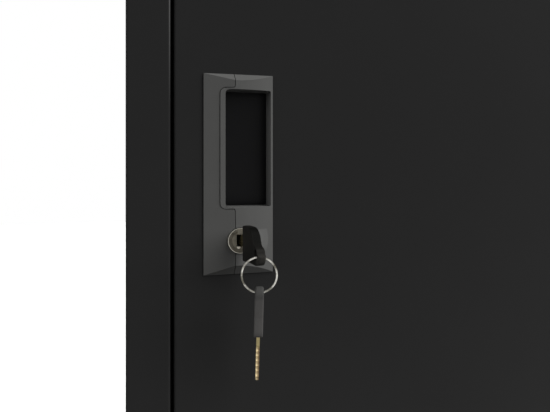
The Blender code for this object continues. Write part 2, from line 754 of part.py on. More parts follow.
def cut_hips(name, block):
    """Slope the two short ends of the plate down to their edges."""
    over = RIDGE_HEIGHT + CUT_MARGIN
    ends = (
        ("top", PLATE_TOP, 1, TOP_HIP, PLATE_EDGE),
        ("bottom", PLATE_BOTTOM, -1, BOTTOM_HIP, BOTTOM_EDGE),
    )
    for end, edge, outward, run, height in ends:
        slope = run / (RIDGE_HEIGHT - height)
        wedge = [
            (-height, edge),
            (-over, edge - outward * slope * (over - height)),
            (-over, edge + outward * CUT_MARGIN),
            (-height, edge + outward * CUT_MARGIN),
        ]
        low = PLATE_LEFT - CUT_MARGIN
        high = PLATE_RIGHT + CUT_MARGIN
        combine(block, prism(name + "_" + end + "_hip", wedge, "X", low, high), "DIFFERENCE")


def pull_side_outline(grow):
    """The part of the plate that belongs to the pull moulding, grown across the seam."""
    ridge = RIDGE_X - grow
    lip = LIP_X - grow
    top = RECESS_TOP + SEAM_MARGIN + grow
    bottom = RECESS_BOTTOM - SEAM_MARGIN - grow
    radius = SEAM_CORNER + grow
    fillet = SEAM_FILLET - grow
    over_top = PLATE_TOP + CUT_MARGIN
    under_bottom = PLATE_BOTTOM - CUT_MARGIN
    past_right = PLATE_RIGHT + CUT_MARGIN
    outline = [(ridge, over_top)]
    outline += arc_points((ridge - fillet, top + fillet), fillet, 0, -90, CORNER_STEPS)
    outline += arc_points((lip + radius, top - radius), radius, 90, 90, CORNER_STEPS)
    outline += arc_points((lip + radius, bottom + radius), radius, 180, 90, CORNER_STEPS)
    outline += arc_points((ridge - fillet, bottom - fillet), fillet, 90, -90, CORNER_STEPS)
    outline += [(ridge, under_bottom), (past_right, under_bottom), (past_right, over_top)]
    return outline


def cut_lock_and_screws(name, block, screws):
    """Bore a moulding for the lock barrel and drill its screw pilots."""
    over = RIDGE_HEIGHT + CUT_MARGIN
    centre = (LOCK_X, 0.0, LOCK_Z)
    seat = LOCK_SEAT - SEAT_GAP
    bore = [
        (0.0, -over),
        (LOCK_HEAD_RADIUS + SEAT_GAP, -over),
        (LOCK_HEAD_RADIUS + SEAT_GAP, -seat),
        (LOCK_BODY_RADIUS + SEAT_GAP, -seat),
        (LOCK_BODY_RADIUS + SEAT_GAP, CUT_MARGIN),
        (0.0, CUT_MARGIN),
    ]
    combine(block, lathe(name + "_lock_bore", bore, "Y", centre, False), "DIFFERENCE")
    for screw, across, upward in screw_places():
        if screw in screws:
            profile = disc_profile(SCREW_RADIUS + SEAT_GAP, -2 * SEAT_GAP - SCREW_GRIP, CUT_MARGIN)
            pilot = lathe(name + "_" + screw + "_pilot", profile, "Y", (across, 0.0, upward), False)
            combine(block, pilot, "DIFFERENCE")


def handle_bezel(plastic, pull):
    """Left moulding of the pull."""
    slope = [(PLATE_LEFT, -PLATE_EDGE)]
    bezel = pull_block("handle_bezel", slope, plastic, pull)
    cut_hips("handle_bezel", bezel)
    over = RIDGE_HEIGHT + CUT_MARGIN
    outline = pull_side_outline(SEAM_GAP / 2)
    combine(bezel, prism("handle_bezel_seam", outline, "Y", -over, CUT_MARGIN), "DIFFERENCE")
    cut_lock_and_screws("handle_bezel", bezel, ("upper_bezel_screw", "lower_bezel_screw"))


def handle_pull(plastic, pull):
    """Right moulding: crowned face, lock boss, lip and the walls of the finger recess."""
    lip = [(PLATE_LEFT, -LIP_HEIGHT), (RECESS_LEFT, -LIP_HEIGHT)]
    moulding = pull_block("handle_pull", lip, plastic, pull)
    boss_top = LOCK_HEAD_RADIUS + BOSS_TOP_MARGIN
    boss_foot = boss_top + BOSS_RUN
    profile = [(0.0, -2 * SEAT_GAP), (boss_foot, -2 * SEAT_GAP), (boss_foot, -BOSS_BASE)]
    profile += [(boss_top, -BOSS_HEIGHT), (0.0, -BOSS_HEIGHT)]
    boss = lathe("handle_pull_boss", profile, "Y", (LOCK_X, 0.0, LOCK_Z), False)
    combine(moulding, boss, "UNION")
    cut_hips("handle_pull", moulding)
    over = RIDGE_HEIGHT + CUT_MARGIN
    outline = pull_side_outline(-SEAM_GAP / 2)
    combine(moulding, prism("handle_pull_seam", outline, "Y", -over, CUT_MARGIN), "INTERSECT")
    cup_front = -PLATE_EDGE / 2
    cup = prism("handle_pull_cup", recess_outline(RECESS_WALL), "Y", cup_front, RECESS_DEPTH)
    combine(moulding, cup, "UNION")
    past_cup = RECESS_DEPTH + CUT_MARGIN
    hollow = prism("handle_pull_recess", recess_outline(0.0), "Y", -over, past_cup)
    combine(moulding, hollow, "DIFFERENCE")
    cut_lock_and_screws("handle_pull", moulding, ("upper_pull_screw", "lower_pull_screw"))


def recess_back(plastic, pull):
    """Black plate that closes the finger recess from behind."""
    front = RECESS_DEPTH + SEAT_GAP
    prism("recess_back", recess_outline(RECESS_WALL), "Y", front, front + RECESS_WALL, plastic, pull)


def handle_retainer(zinc, steel, pull):
    """Plate behind the door skin, and the screws that draw both mouldings against it."""
    outline = [
        (PLATE_LEFT + RETAINER_INSET, PLATE_BOTTOM + RETAINER_INSET),
        (PLATE_RIGHT - RETAINER_INSET, PLATE_BOTTOM + RETAINER_INSET),
        (PLATE_RIGHT - RETAINER_INSET, PLATE_TOP - RETAINER_INSET),
        (PLATE_LEFT + RETAINER_INSET, PLATE_TOP - RETAINER_INSET),
    ]
    plate = prism("handle_retainer", outline, "Y", RETAINER_FRONT, RETAINER_BACK, zinc, pull)
    low = RETAINER_FRONT - CUT_MARGIN
    high = RETAINER_BACK + CUT_MARGIN
    holes = pull_openings((0.0, 0.0, 0.0))
    combine(plate, prisms("handle_retainer_openings", holes, "Y", low, high), "DIFFERENCE")
    seat = RETAINER_BACK + SEAT_GAP
    head = seat + SCREW_HEAD_HEIGHT
    tip = -SEAT_GAP - SCREW_GRIP
    for name, across, upward in screw_places():
        profile = [(0.0, tip), (SCREW_RADIUS, tip), (SCREW_RADIUS, seat), (SCREW_HEAD_RADIUS, seat)]
        profile += [(SCREW_HEAD_RADIUS, head), (0.0, head)]
        lathe(name, profile, "Y", (across, 0.0, upward), False, steel, pull)


def lock_barrel(nickel, zinc, lock):
    """Fixed lock body with its round head, and the nut that clamps it behind the retainer."""
    bore = PLUG_RADIUS + SEAT_GAP
    chamfer = LOCK_HEAD_CHAMFER
    profile = [
        (bore, -LOCK_FACE),
        (LOCK_HEAD_RADIUS - chamfer, -LOCK_FACE),
        (LOCK_HEAD_RADIUS, -LOCK_FACE + chamfer),
        (LOCK_HEAD_RADIUS, -LOCK_SEAT),
        (LOCK_BODY_RADIUS, -LOCK_SEAT),
        (LOCK_BODY_RADIUS, BARREL_REAR),
        (bore, BARREL_REAR),
    ]
    lathe("lock_barrel", profile, "Y", (0.0, 0.0, 0.0), True, nickel, lock)
    seat = RETAINER_BACK + SEAT_GAP
    radius = LOCK_BODY_RADIUS + SEAT_GAP + NUT_WALL
    outline = circle_outline((0.0, 0.0), radius, NUT_SIDES)
    nut = prism("lock_nut", outline, "Y", seat, seat + NUT_THICKNESS, zinc, lock)
    low = seat - CUT_MARGIN
    high = seat + NUT_THICKNESS + CUT_MARGIN
    bore = circle_outline((0.0, 0.0), LOCK_BODY_RADIUS + SEAT_GAP)
    combine(nut, prism("lock_nut_hole", bore, "Y", low, high), "DIFFERENCE")


def lock_plug(nickel, zinc, steel, plug):
    """Turning plug with its keyway and square tail, the cam on the tail and the cam's screw."""
    front = -LOCK_FACE + PLUG_SETBACK
    profile = disc_profile(PLUG_RADIUS, front, BARREL_REAR - SEAT_GAP)
    turned = lathe("lock_plug", profile, "Y", (0.0, 0.0, 0.0), False, nickel, plug)
    half = TAIL_SIDE / 2
    tail_low = (-half, BARREL_REAR - SEAT_GAP - CUT_MARGIN, -half)
    tail = box("lock_plug_tail", tail_low, (half, CAM_BACK, half))
    combine(turned, tail, "UNION")
    slot_x = BLADE_THICKNESS / 2 + KEY_SIDE_PLAY + SEAT_GAP
    slot_z = BLADE_WIDTH / 2 + SEAT_GAP
    depth = -LOCK_FACE + KEY_INSERT + 2 * SEAT_GAP
    keyway = box("lock_plug_keyway", (-slot_x, front - CUT_MARGIN, -slot_z), (slot_x, depth, slot_z))
    combine(turned, keyway, "DIFFERENCE")
    tip = CAM_BACK + SEAT_GAP - CAM_SCREW_LENGTH
    profile = disc_profile(CAM_SCREW_RADIUS + SEAT_GAP, tip - SEAT_GAP, CAM_BACK + CUT_MARGIN)
    combine(turned, lathe("lock_plug_screw_hole", profile, "Y", (0.0, 0.0, 0.0), False), "DIFFERENCE")

    edge = CAM_WIDTH / 2
    outline = arc_points((0.0, 0.0), edge, 0, 180, 2 * CORNER_STEPS)
    outline += arc_points((0.0, -CAM_REACH + edge), edge, 180, 180, 2 * CORNER_STEPS)
    cam = prism("lock_cam", outline, "Y", CAM_FRONT, CAM_BACK, zinc, plug)
    half += SEAT_GAP
    cam_low = (-half, CAM_FRONT - CUT_MARGIN, -half)
    square = box("lock_cam_square", cam_low, (half, CAM_BACK + CUT_MARGIN, half))
    combine(cam, square, "DIFFERENCE")
    seat = CAM_BACK + SEAT_GAP
    head = seat + CAM_SCREW_HEAD_HEIGHT
    profile = [(0.0, tip), (CAM_SCREW_RADIUS, tip), (CAM_SCREW_RADIUS, seat)]
    profile += [(CAM_SCREW_HEAD_RADIUS, seat), (CAM_SCREW_HEAD_RADIUS, head), (0.0, head)]
    lathe("cam_screw", profile, "Y", (0.0, 0.0, 0.0), False, steel, plug)


def key(prefix, eye, plastic, brass, frame):
    """A flat key along +Y: plastic bow with a slotted ring eye low on its outer end, and a double-cut blade.

    The eye is the place of the slot's lower end in the frame, along and across the key.
    """
    half = BOW_THICKNESS / 2
    along, across = eye
    centre = across + EYE_DROP
    inner = along + BOW_INNER_END
    outer = inner - BOW_HEAD_LENGTH
    radii = [BOW_INNER_CORNER, BOW_INNER_CORNER, BOW_OUTER_CORNER, BOW_OUTER_CORNER]
    outline = rounded_outline(outer, inner, centre - BOW_WIDTH / 2, centre + BOW_WIDTH / 2, radii)
    bow = prism(prefix + "key_bow", outline, "X", -half, half, plastic, frame)
    slot_top = (along, across + EYE_SLOT)
    lug_end = inner - BOW_HEAD_LENGTH / 2
    lug = arc_points(slot_top, EYE_TOP_RADIUS, 90, 90, CORNER_STEPS)
    lug += arc_points(eye, EYE_RADIUS, 180, 90, CORNER_STEPS)
    lug += [(lug_end, across - EYE_RADIUS), (lug_end, across + EYE_SLOT + EYE_TOP_RADIUS)]
    combine(bow, prism(prefix + "key_bow_lug", lug, "X", -half, half), "UNION")
    hole = arc_points(slot_top, EYE_HOLE_RADIUS, 0, 180, 2 * CORNER_STEPS)
    hole += arc_points(eye, EYE_HOLE_RADIUS, 180, 180, 2 * CORNER_STEPS)
    over = half + CUT_MARGIN
    combine(bow, prism(prefix + "key_bow_hole", hole, "X", -over, over), "DIFFERENCE")
    tang = inner - BLADE_TANG
    pocket_x = BLADE_THICKNESS / 2 + SEAT_GAP
    pocket_z = BLADE_WIDTH / 2 + SEAT_GAP
    pocket_low = (-pocket_x, tang - SEAT_GAP, centre - pocket_z)
    pocket_high = (pocket_x, inner + CUT_MARGIN, centre + pocket_z)
    combine(bow, box(prefix + "key_bow_pocket", pocket_low, pocket_high), "DIFFERENCE")

    edge = BLADE_WIDTH / 2
    end = along + BLADE_END
    start = inner + KEY_SHANK
    pitch = (end - BLADE_TIP - start) / BITTING_COUNT
    upper = [(tang, edge), (start, edge)]
    for cut in range(BITTING_COUNT):
        upper.append((start + pitch * cut + pitch / 2, edge - BITTING_DEPTH))
        upper.append((start + pitch * cut + pitch, edge))
    upper.append((end, BLADE_TIP / 2))
    blade = [(place, centre + height) for place, height in upper]
    blade += [(place, centre - height) for place, height in reversed(upper)]
    thickness = BLADE_THICKNESS / 2
    prism(prefix + "key_blade", blade, "X", -thickness, thickness, brass, frame)


def key_ring(steel, frame):
    """Round wire ring that hangs from its topmost point."""
    profile = circle_outline((RING_RADIUS, 0.0), WIRE_RADIUS, WIRE_STEPS)
    lathe("key_ring", profile, "Y", (0.0, 0.0, -RING_RADIUS), True, steel, frame, RING_STEPS)


def centre_outline(cabinet):
    """Move the whole locker along Y until the middle of its outline is over the origin."""
    bpy.context.view_layer.update()
    view = bpy.context.evaluated_depsgraph_get()
    places = []
    for piece in bpy.context.scene.objects:
        if piece.type == "MESH" and not piece.hide_render:
            shown = piece.evaluated_get(view)
            places += [(shown.matrix_world @ vertex.co).y for vertex in shown.data.vertices]
    cabinet.location.y -= (min(places) + max(places)) / 2


def build_locker():
    """Build every piece in its frame."""
    clear_scene()
    paint = make_material("black_powder_coat", PAINT_COLOUR, LOW_SHEEN, PLAIN)
    pull_plastic = make_material("grey_pull_plastic", PULL_COLOUR, SATIN, PLAIN)
    key_plastic = make_material("black_key_plastic", KEY_COLOUR, LOW_SHEEN, PLAIN)
    fitting_plastic = make_material("black_fitting_plastic", FITTING_COLOUR, LOW_SHEEN, PLAIN)
    rubber = make_material("bumper_rubber", RUBBER_COLOUR, MATT, PLAIN)
    steel = make_material("bright_steel", STEEL_COLOUR, BRIGHT, METAL)
    zinc = make_material("zinc_plated_steel", ZINC_COLOUR, SATIN, METAL)
    nickel = make_material("nickel_plating", NICKEL_COLOUR, BRIGHT, METAL)
    brass = make_material("key_brass", BRASS_COLOUR, SATIN, METAL)

    cabinet = make_frame("cabinet_frame", (0.0, 0.0, 0.0))
    side_panel("left_side_panel", -1, -STOP_WIDTH, paint, cabinet)
    side_panel("right_side_panel", 1, POST_LIP, paint, cabinet)
    back_panel(paint, cabinet)
    top_panel(paint, cabinet)
    rails(paint, cabinet)
    floor_and_shelf(paint, zinc, cabinet)
    coat_rail(steel, fitting_plastic, cabinet)
    hinge_pins(steel, cabinet)
    door_bumpers(rubber, cabinet)
    foot("front_left_foot", -1, foot_front_y(), fitting_plastic, cabinet)
    foot("front_right_foot", 1, foot_front_y(), fitting_plastic, cabinet)
    foot("rear_left_foot", -1, foot_rear_y(), fitting_plastic, cabinet)
    foot("rear_right_foot", 1, foot_rear_y(), fitting_plastic, cabinet)

    door = make_frame("door_hinge_axis", (HINGE_X, FRONT + HINGE_INSET_Y, 0.0), cabinet)
    pull_origin = (DOOR_LEFT + PULL_INSET + PLATE_WIDTH / 2, DOOR_FRONT, PULL_HEIGHT)
    door_panel(pull_origin, paint, door)
    hinge_bushes(fitting_plastic, door)
    door_stiffener(paint, door)

    pull = make_frame("pull_frame", pull_origin, door)
    handle_bezel(pull_plastic, pull)
    handle_pull(pull_plastic, pull)
    recess_back(fitting_plastic, pull)
    handle_retainer(zinc, steel, pull)
    lock = make_frame("lock_axis", (LOCK_X, 0.0, LOCK_Z), pull)
    lock_barrel(nickel, zinc, lock)
    lock_plug(nickel, zinc, steel, lock)

    across = KEY_REACH * math.sin(KEY_TILT)
    along = KEY_MIDDLE - KEY_REACH * math.cos(KEY_TILT)
    inserted = make_frame("key_frame", (across, along, 0.0), lock, (0.0, 0.0, KEY_TILT))
    key("", (0.0, -EYE_DROP), key_plastic, brass, inserted)
    ring = make_frame("ring_pivot", (0.0, 0.0, -EYE_DROP - RING_SLACK), inserted, (0.0, 0.0, RING_TURN))
    key_ring(steel, ring)
    downwards = (math.radians(-90), 0.0, 0.0)
    hanging = make_frame("spare_key_pivot", (0.0, 0.0, -2 * RING_RADIUS), ring, downwards)
    key("spare_", (SPARE_SLACK, -EYE_SLOT), key_plastic, brass, hanging)
    centre_outline(cabinet)


build_locker()
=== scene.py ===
import json
import math

import bmesh
import bpy
import numpy as np
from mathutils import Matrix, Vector


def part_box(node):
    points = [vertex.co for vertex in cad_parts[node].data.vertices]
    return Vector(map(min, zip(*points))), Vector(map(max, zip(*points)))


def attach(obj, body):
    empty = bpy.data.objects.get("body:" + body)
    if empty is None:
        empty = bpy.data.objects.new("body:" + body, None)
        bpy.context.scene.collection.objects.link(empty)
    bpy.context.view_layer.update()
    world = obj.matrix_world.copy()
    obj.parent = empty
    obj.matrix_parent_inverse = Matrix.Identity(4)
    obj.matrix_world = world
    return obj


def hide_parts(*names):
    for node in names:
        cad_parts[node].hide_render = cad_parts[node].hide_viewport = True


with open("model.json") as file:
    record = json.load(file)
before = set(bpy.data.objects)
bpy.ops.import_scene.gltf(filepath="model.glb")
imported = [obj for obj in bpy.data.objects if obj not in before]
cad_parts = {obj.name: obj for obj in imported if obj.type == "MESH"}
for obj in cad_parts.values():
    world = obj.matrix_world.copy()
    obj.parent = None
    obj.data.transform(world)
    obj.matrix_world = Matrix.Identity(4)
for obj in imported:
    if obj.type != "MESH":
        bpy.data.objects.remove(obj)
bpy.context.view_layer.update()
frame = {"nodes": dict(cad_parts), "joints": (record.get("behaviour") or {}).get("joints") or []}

# Body sheets and door: 0.8 mm mild steel, folded on a press brake and powder coated black as one.
# The polyester coat flows into a faint orange peel as it is baked and is nearly matt, so folds draw
# the shape by their light alone. A painted highlight, a grey line, lies on the posts' inner edges above the
# pull and fades out downwards.
MM = 0.001
PEEL_WIDTH = 2.2 * MM
GRIT_WIDTH = 0.45 * MM
CLOUD_WIDTH = 70 * MM
POST_WIDTH = 28.6 * MM
# Place, width and fade of the painted highlight on the posts' inner edges.
FOLD_HIGHLIGHT_OUTWARD = 0.4 * MM
FOLD_HIGHLIGHT_HALF = 0.6 * MM
FOLD_HIGHLIGHT_DEPTH = 1.5 * MM
FOLD_HIGHLIGHT_LOW = 975 * MM
FOLD_HIGHLIGHT_HIGH = 1060 * MM
FOLD_HIGHLIGHT_LEAST = 0.05
nodes = frame["nodes"]


def linear(code):
    """Linear colour of an sRGB hex code.

    A low value is divided by 12.92. To any other, 0.055 is added, the sum is divided by 1.055, and
    the result is raised to the power of 2.4.
    """
    value = np.array([int(code[i:i + 2], 16) for i in (1, 3, 5)]) / 255
    flat = np.where(value <= 0.04045, value / 12.92, ((value + 0.055) / 1.055) ** 2.4)
    return (*flat.tolist(), 1.0)


def add_node(tree, kind, links=None, values=None, **settings):
    """Add a node, set its settings and socket values, and link its inputs to other nodes' outputs."""
    made = tree.nodes.new("ShaderNode" + kind)
    for name, setting in settings.items():
        setattr(made, name, setting)
    for socket, value in (values or {}).items():
        made.inputs[socket].default_value = value
    for socket, source in (links or {}).items():
        tree.links.new(source, made.inputs[socket])
    return made


def start_material(name, roughness, metallic=0.0, specular=0.5):
    """A material with a Principled shader whose even numbers are set on its own sockets."""
    material = bpy.data.materials.new(name)
    material.use_nodes = True
    tree = material.node_tree
    shader = tree.nodes["Principled BSDF"]
    shader.inputs["Roughness"].default_value = roughness
    shader.inputs["Metallic"].default_value = metallic
    shader.inputs["Specular IOR Level"].default_value = specular
    place = add_node(tree, "TexCoord").outputs["Object"]
    return material, tree, shader, place


def finish_nodes(material, names):
    """Put the material in the slots of CAD nodes whose shape is kept."""
    for name in names:
        for slot in nodes[name].material_slots:
            slot.material = material


# The coat's real grit is some hundredths of a millimetre wide, so it is drawn coarser to show.
powder_coat, tree, shader, place = start_material("black_polyester_powder_coat", 0.56, specular=0.07)
peel = add_node(tree, "TexNoise", {"Vector": place}, {"Scale": 1 / PEEL_WIDTH, "Detail": 2.0})
grit = add_node(tree, "TexNoise", {"Vector": place}, {"Scale": 1 / GRIT_WIDTH, "Detail": 1.0})
cloud = add_node(tree, "TexNoise", {"Vector": place}, {"Scale": 1 / CLOUD_WIDTH, "Detail": 3.0})
even_black = add_node(
    tree, "Mix", {0: cloud.outputs["Fac"]}, {6: linear("#1b1b1b"), 7: linear("#1d1d1d")}, data_type="RGBA",
)
# Painted highlight: a thin grey line along each post's inner edge, fading out downwards.
post_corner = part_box("left_side_panel")[0]
fold_highlight_middle = FOLD_HIGHLIGHT_OUTWARD - post_corner.x - POST_WIDTH
spot = add_node(tree, "SeparateXYZ", {0: place}).outputs
across = add_node(tree, "Math", {0: spot["X"]}, operation="ABSOLUTE")
edge = add_node(tree, "Math", {0: across.outputs[0]}, {1: fold_highlight_middle, 2: FOLD_HIGHLIGHT_HALF}, operation="COMPARE")
fore = add_node(tree, "Math", {0: spot["Y"]}, {1: post_corner.y + FOLD_HIGHLIGHT_DEPTH}, operation="LESS_THAN")
highlight_fade = add_node(
    tree, "MapRange", {"Value": spot["Z"]}, {"From Min": FOLD_HIGHLIGHT_LOW, "From Max": FOLD_HIGHLIGHT_HIGH, "To Min": FOLD_HIGHLIGHT_LEAST},
)
highlight_band = add_node(tree, "Math", {0: edge.outputs[0], 1: fore.outputs[0]}, operation="MULTIPLY")
highlight_mask = add_node(tree, "Math", {0: highlight_band.outputs[0], 1: highlight_fade.outputs[0]}, operation="MULTIPLY")
coat = add_node(
    tree, "Mix", {0: highlight_mask.outputs[0], 6: even_black.outputs[2]}, {7: linear("#4a4a4a")}, data_type="RGBA",
)
sheen = add_node(tree, "MapRange", {"Value": grit.outputs["Fac"]}, {"To Min": 0.50, "To Max": 0.62})
peel_bump = add_node(
    tree, "Bump", {"Height": peel.outputs["Fac"]}, {"Strength": 0.05, "Distance": 0.2 * MM},
)
grit_bump = add_node(
    tree, "Bump", {"Height": grit.outputs["Fac"], "Normal": peel_bump.outputs[0]},
    {"Strength": 0.08, "Distance": 0.1 * MM},
)
tree.links.new(coat.outputs[2], shader.inputs["Base Color"])
tree.links.new(sheen.outputs[0], shader.inputs["Roughness"])
tree.links.new(grit_bump.outputs[0], shader.inputs["Normal"])
finish_nodes(powder_coat, [
    "left_side_panel", "right_side_panel", "back_panel", "top_panel", "bottom_panel",
    "top_rail", "bottom_rail", "hat_shelf", "door_panel", "door_stiffener",
])

# Shelf ledges, retainer plate, lock nut and cam: pressed from electro-galvanised steel.
# The zinc is bright but hazy, with a soft grain of crystals some millimetres wide. The press leaves
# the edges of the small pieces slightly rounded.
CRYSTAL_WIDTH = 5 * MM
HAZE_WIDTH = 18 * MM
zinc_plate, tree, shader, place = start_material("electro_galvanised_steel", 0.42, metallic=1.0)
grain = add_node(tree, "TexVoronoi", {"Vector": place}, {"Scale": 1 / CRYSTAL_WIDTH})
haze = add_node(tree, "TexNoise", {"Vector": place}, {"Scale": 1 / HAZE_WIDTH, "Detail": 4.0})
blend = add_node(tree, "Math", {0: grain.outputs["Color"], 1: haze.outputs["Fac"]}, operation="MULTIPLY")
tone = add_node(
    tree, "Mix", {0: blend.outputs[0]}, {6: linear("#8f9192"), 7: linear("#b4b4b0")}, data_type="RGBA",
)
dulling = add_node(tree, "MapRange", {"Value": haze.outputs["Fac"]}, {"To Min": 0.34, "To Max": 0.52})
tree.links.new(tone.outputs[2], shader.inputs["Base Color"])
tree.links.new(dulling.outputs[0], shader.inputs["Roughness"])


def soften(name, width, steps=2, limit=30):
    """Round the edges of a CAD node: merge its loose triangles, join flat ones, then bevel sharp edges."""
    weld = nodes[name].modifiers.new("merge", "WELD")
    weld.merge_threshold = 0.002 * MM
    join = nodes[name].modifiers.new("join_flat", "DECIMATE")
    join.decimate_type = "DISSOLVE"
    join.angle_limit = math.radians(0.5)
    bevel = nodes[name].modifiers.new("edges", "BEVEL")
    bevel.width = width
    bevel.segments = steps
    bevel.limit_method = "ANGLE"
    bevel.angle_limit = math.radians(limit)
    weighted = nodes[name].modifiers.new("shading", "WEIGHTED_NORMAL")
    weighted.mode = "FACE_AREA"
    weighted.keep_sharp = False


finish_nodes(zinc_plate, [
    "left_shelf_ledge", "right_shelf_ledge", "handle_retainer", "lock_nut", "lock_cam",
])
for name, width in (("handle_retainer", 0.2 * MM), ("lock_nut", 0.4 * MM), ("lock_cam", 0.3 * MM)):
    soften(name, width)

# Feet, hinge bushes and rail sockets: black polypropylene, injection moulded and pushed into place.
# The mould was spark eroded, so the plastic has a fine even grain and a low sheen. A foot has a
# shallow hollow underneath and a stem that plugs into the floor of the locker.
FITTING_GRAIN = 0.6 * MM
FITTING_EDGE = 0.3 * MM
FOOT_RADIUS = 15.0 * MM
FOOT_TOP = 9.7 * MM
FOOT_CHAMFER = 1.8 * MM
FOOT_EDGE = 0.9 * MM
HOLLOW_RADIUS = 9.0 * MM
HOLLOW_DEPTH = 0.6 * MM
STEM_RADIUS = 4.0 * MM
STEM_TOP = 15.7 * MM
Y_AXIS = 1
Z_AXIS = 2

# The real grain is about a tenth of a millimetre wide, so it is drawn coarser to show.
fitting_plastic, tree, shader, place = start_material("black_moulded_polypropylene", 0.55, specular=0.15)
grain = add_node(tree, "TexNoise", {"Vector": place}, {"Scale": 1 / FITTING_GRAIN, "Detail": 2.0})
tone = add_node(
    tree, "Mix", {0: grain.outputs["Fac"]}, {6: linear("#1f1f20"), 7: linear("#29292a")}, data_type="RGBA",
)
relief = add_node(tree, "Bump", {"Height": grain.outputs["Fac"]}, {"Strength": 0.15, "Distance": 0.1 * MM})
tree.links.new(tone.outputs[2], shader.inputs["Base Color"])
tree.links.new(relief.outputs[0], shader.inputs["Normal"])
fittings = ("upper_hinge_bush", "lower_hinge_bush", "left_rail_socket", "right_rail_socket")
finish_nodes(fitting_plastic, fittings)
for name in fittings:
    soften(name, FITTING_EDGE)


def surface(name, grid, material, body, replaced):
    """Mesh of a grid of points: each cell between neighbouring rows and columns is one face.

    The columns close into a loop, and rows that shrink to a point are merged.
    """
    rows, columns = grid.shape[:2]
    index = np.arange(rows * columns).reshape(rows, columns)
    after = np.roll(index, -1, axis=1)
    faces = np.stack([index[:-1], after[:-1], after[1:], index[1:]], axis=-1).reshape(-1, 4)
    mesh = bpy.data.meshes.new(name)
    mesh.from_pydata(grid.reshape(-1, 3).tolist(), [], faces.tolist())
    work = bmesh.new()
    work.from_mesh(mesh)
    bmesh.ops.remove_doubles(work, verts=work.verts, dist=0.0005 * MM)
    bmesh.ops.recalc_face_normals(work, faces=work.faces)
    work.to_mesh(mesh)
    work.free()
    mesh.shade_smooth()
    mesh.set_sharp_from_angle(angle=math.radians(40))
    mesh.materials.append(material)
    piece = bpy.data.objects.new(name, mesh)
    bpy.context.scene.collection.objects.link(piece)
    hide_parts(replaced)
    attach(piece, body)


def rounded(corners, radius, steps=4):
    """Profile with its corners rounded.

    Each corner becomes a quadratic curve between two points, a radius before it and a radius after
    it, or a little under half of a side that is too short for that.
    """
    corners = np.array(corners, float)
    share = np.linspace(0, 1, steps)[:, None]
    profile = [corners[:1]]
    for before, corner, after in zip(corners[:-2], corners[1:-1], corners[2:]):
        to_before = before - corner
        to_after = after - corner
        span = min(radius, np.linalg.norm(to_before) * 0.45, np.linalg.norm(to_after) * 0.45)
        start = corner + to_before / np.linalg.norm(to_before) * span
        end = corner + to_after / np.linalg.norm(to_after) * span
        profile.append((1 - share) ** 2 * start + 2 * share * (1 - share) * corner + share ** 2 * end)
    profile.append(corners[-1:])
    return np.concatenate(profile)


def turned(profile, centre, along, steps=64):
    """Grid of a turned shape.

    Each (radius, height) of the profile sweeps a circle of that radius about the axis through the
    centre, at that height along it.
    """
    angle = np.linspace(0, 2 * np.pi, steps, endpoint=False)
    axis = np.eye(3)[along]
    first = np.eye(3)[(along + 1) % 3]
    second = np.eye(3)[(along + 2) % 3]
    circle = np.cos(angle)[:, None] * first + np.sin(angle)[:, None] * second
    return np.array(centre) + profile[:, :1, None] * circle + profile[:, 1:, None] * axis


foot_profile = rounded([
    (0.0, HOLLOW_DEPTH), (HOLLOW_RADIUS, HOLLOW_DEPTH), (HOLLOW_RADIUS + HOLLOW_DEPTH, 0.0),
    (FOOT_RADIUS - FOOT_CHAMFER, 0.0), (FOOT_RADIUS, FOOT_CHAMFER), (FOOT_RADIUS, FOOT_TOP),
    (STEM_RADIUS, FOOT_TOP), (STEM_RADIUS, STEM_TOP), (0.0, STEM_TOP),
], FOOT_EDGE)
for name in ("front_left_foot", "front_right_foot", "rear_left_foot", "rear_right_foot"):
    low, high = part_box(name)
    foot = turned(foot_profile, ((low.x + high.x) / 2, (low.y + high.y) / 2, 0.0), Z_AXIS)
    surface(name + "_moulding", foot, fitting_plastic, "cabinet", name)

# Door bumpers: moulded buttons of black rubber, pressed on the stop flange.
# The rubber is dull, with a bloom that greys it in patches, and the button's front is domed.
BLOOM_WIDTH = 3 * MM
DOME_EDGE = 1.2 * MM
DOME_FLAT_SHARE = 0.7
DOME_SIDE_SHARE = 0.35
bumper_rubber, tree, shader, place = start_material("bumper_rubber", 0.82, specular=0.15)
bloom = add_node(tree, "TexNoise", {"Vector": place}, {"Scale": 1 / BLOOM_WIDTH, "Detail": 4.0})
tone = add_node(
    tree, "Mix", {0: bloom.outputs["Fac"]}, {6: linear("#262626"), 7: linear("#383735")}, data_type="RGBA",
)
tree.links.new(tone.outputs[2], shader.inputs["Base Color"])
for name in ("upper_door_bumper", "lower_door_bumper"):
    low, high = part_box(name)
    centre = ((low.x + high.x) / 2, high.y, (low.z + high.z) / 2)
    height = high.y - low.y
    radius = (high.x - low.x) / 2
    dome = rounded([
        (0, -height), (radius * DOME_FLAT_SHARE, -height), (radius, -height * DOME_SIDE_SHARE),
        (radius, 0), (0, 0),
    ], DOME_EDGE, 6)
    button = turned(dome, centre, Y_AXIS, 40)
    surface(name + "_button", button, bumper_rubber, "cabinet", name)

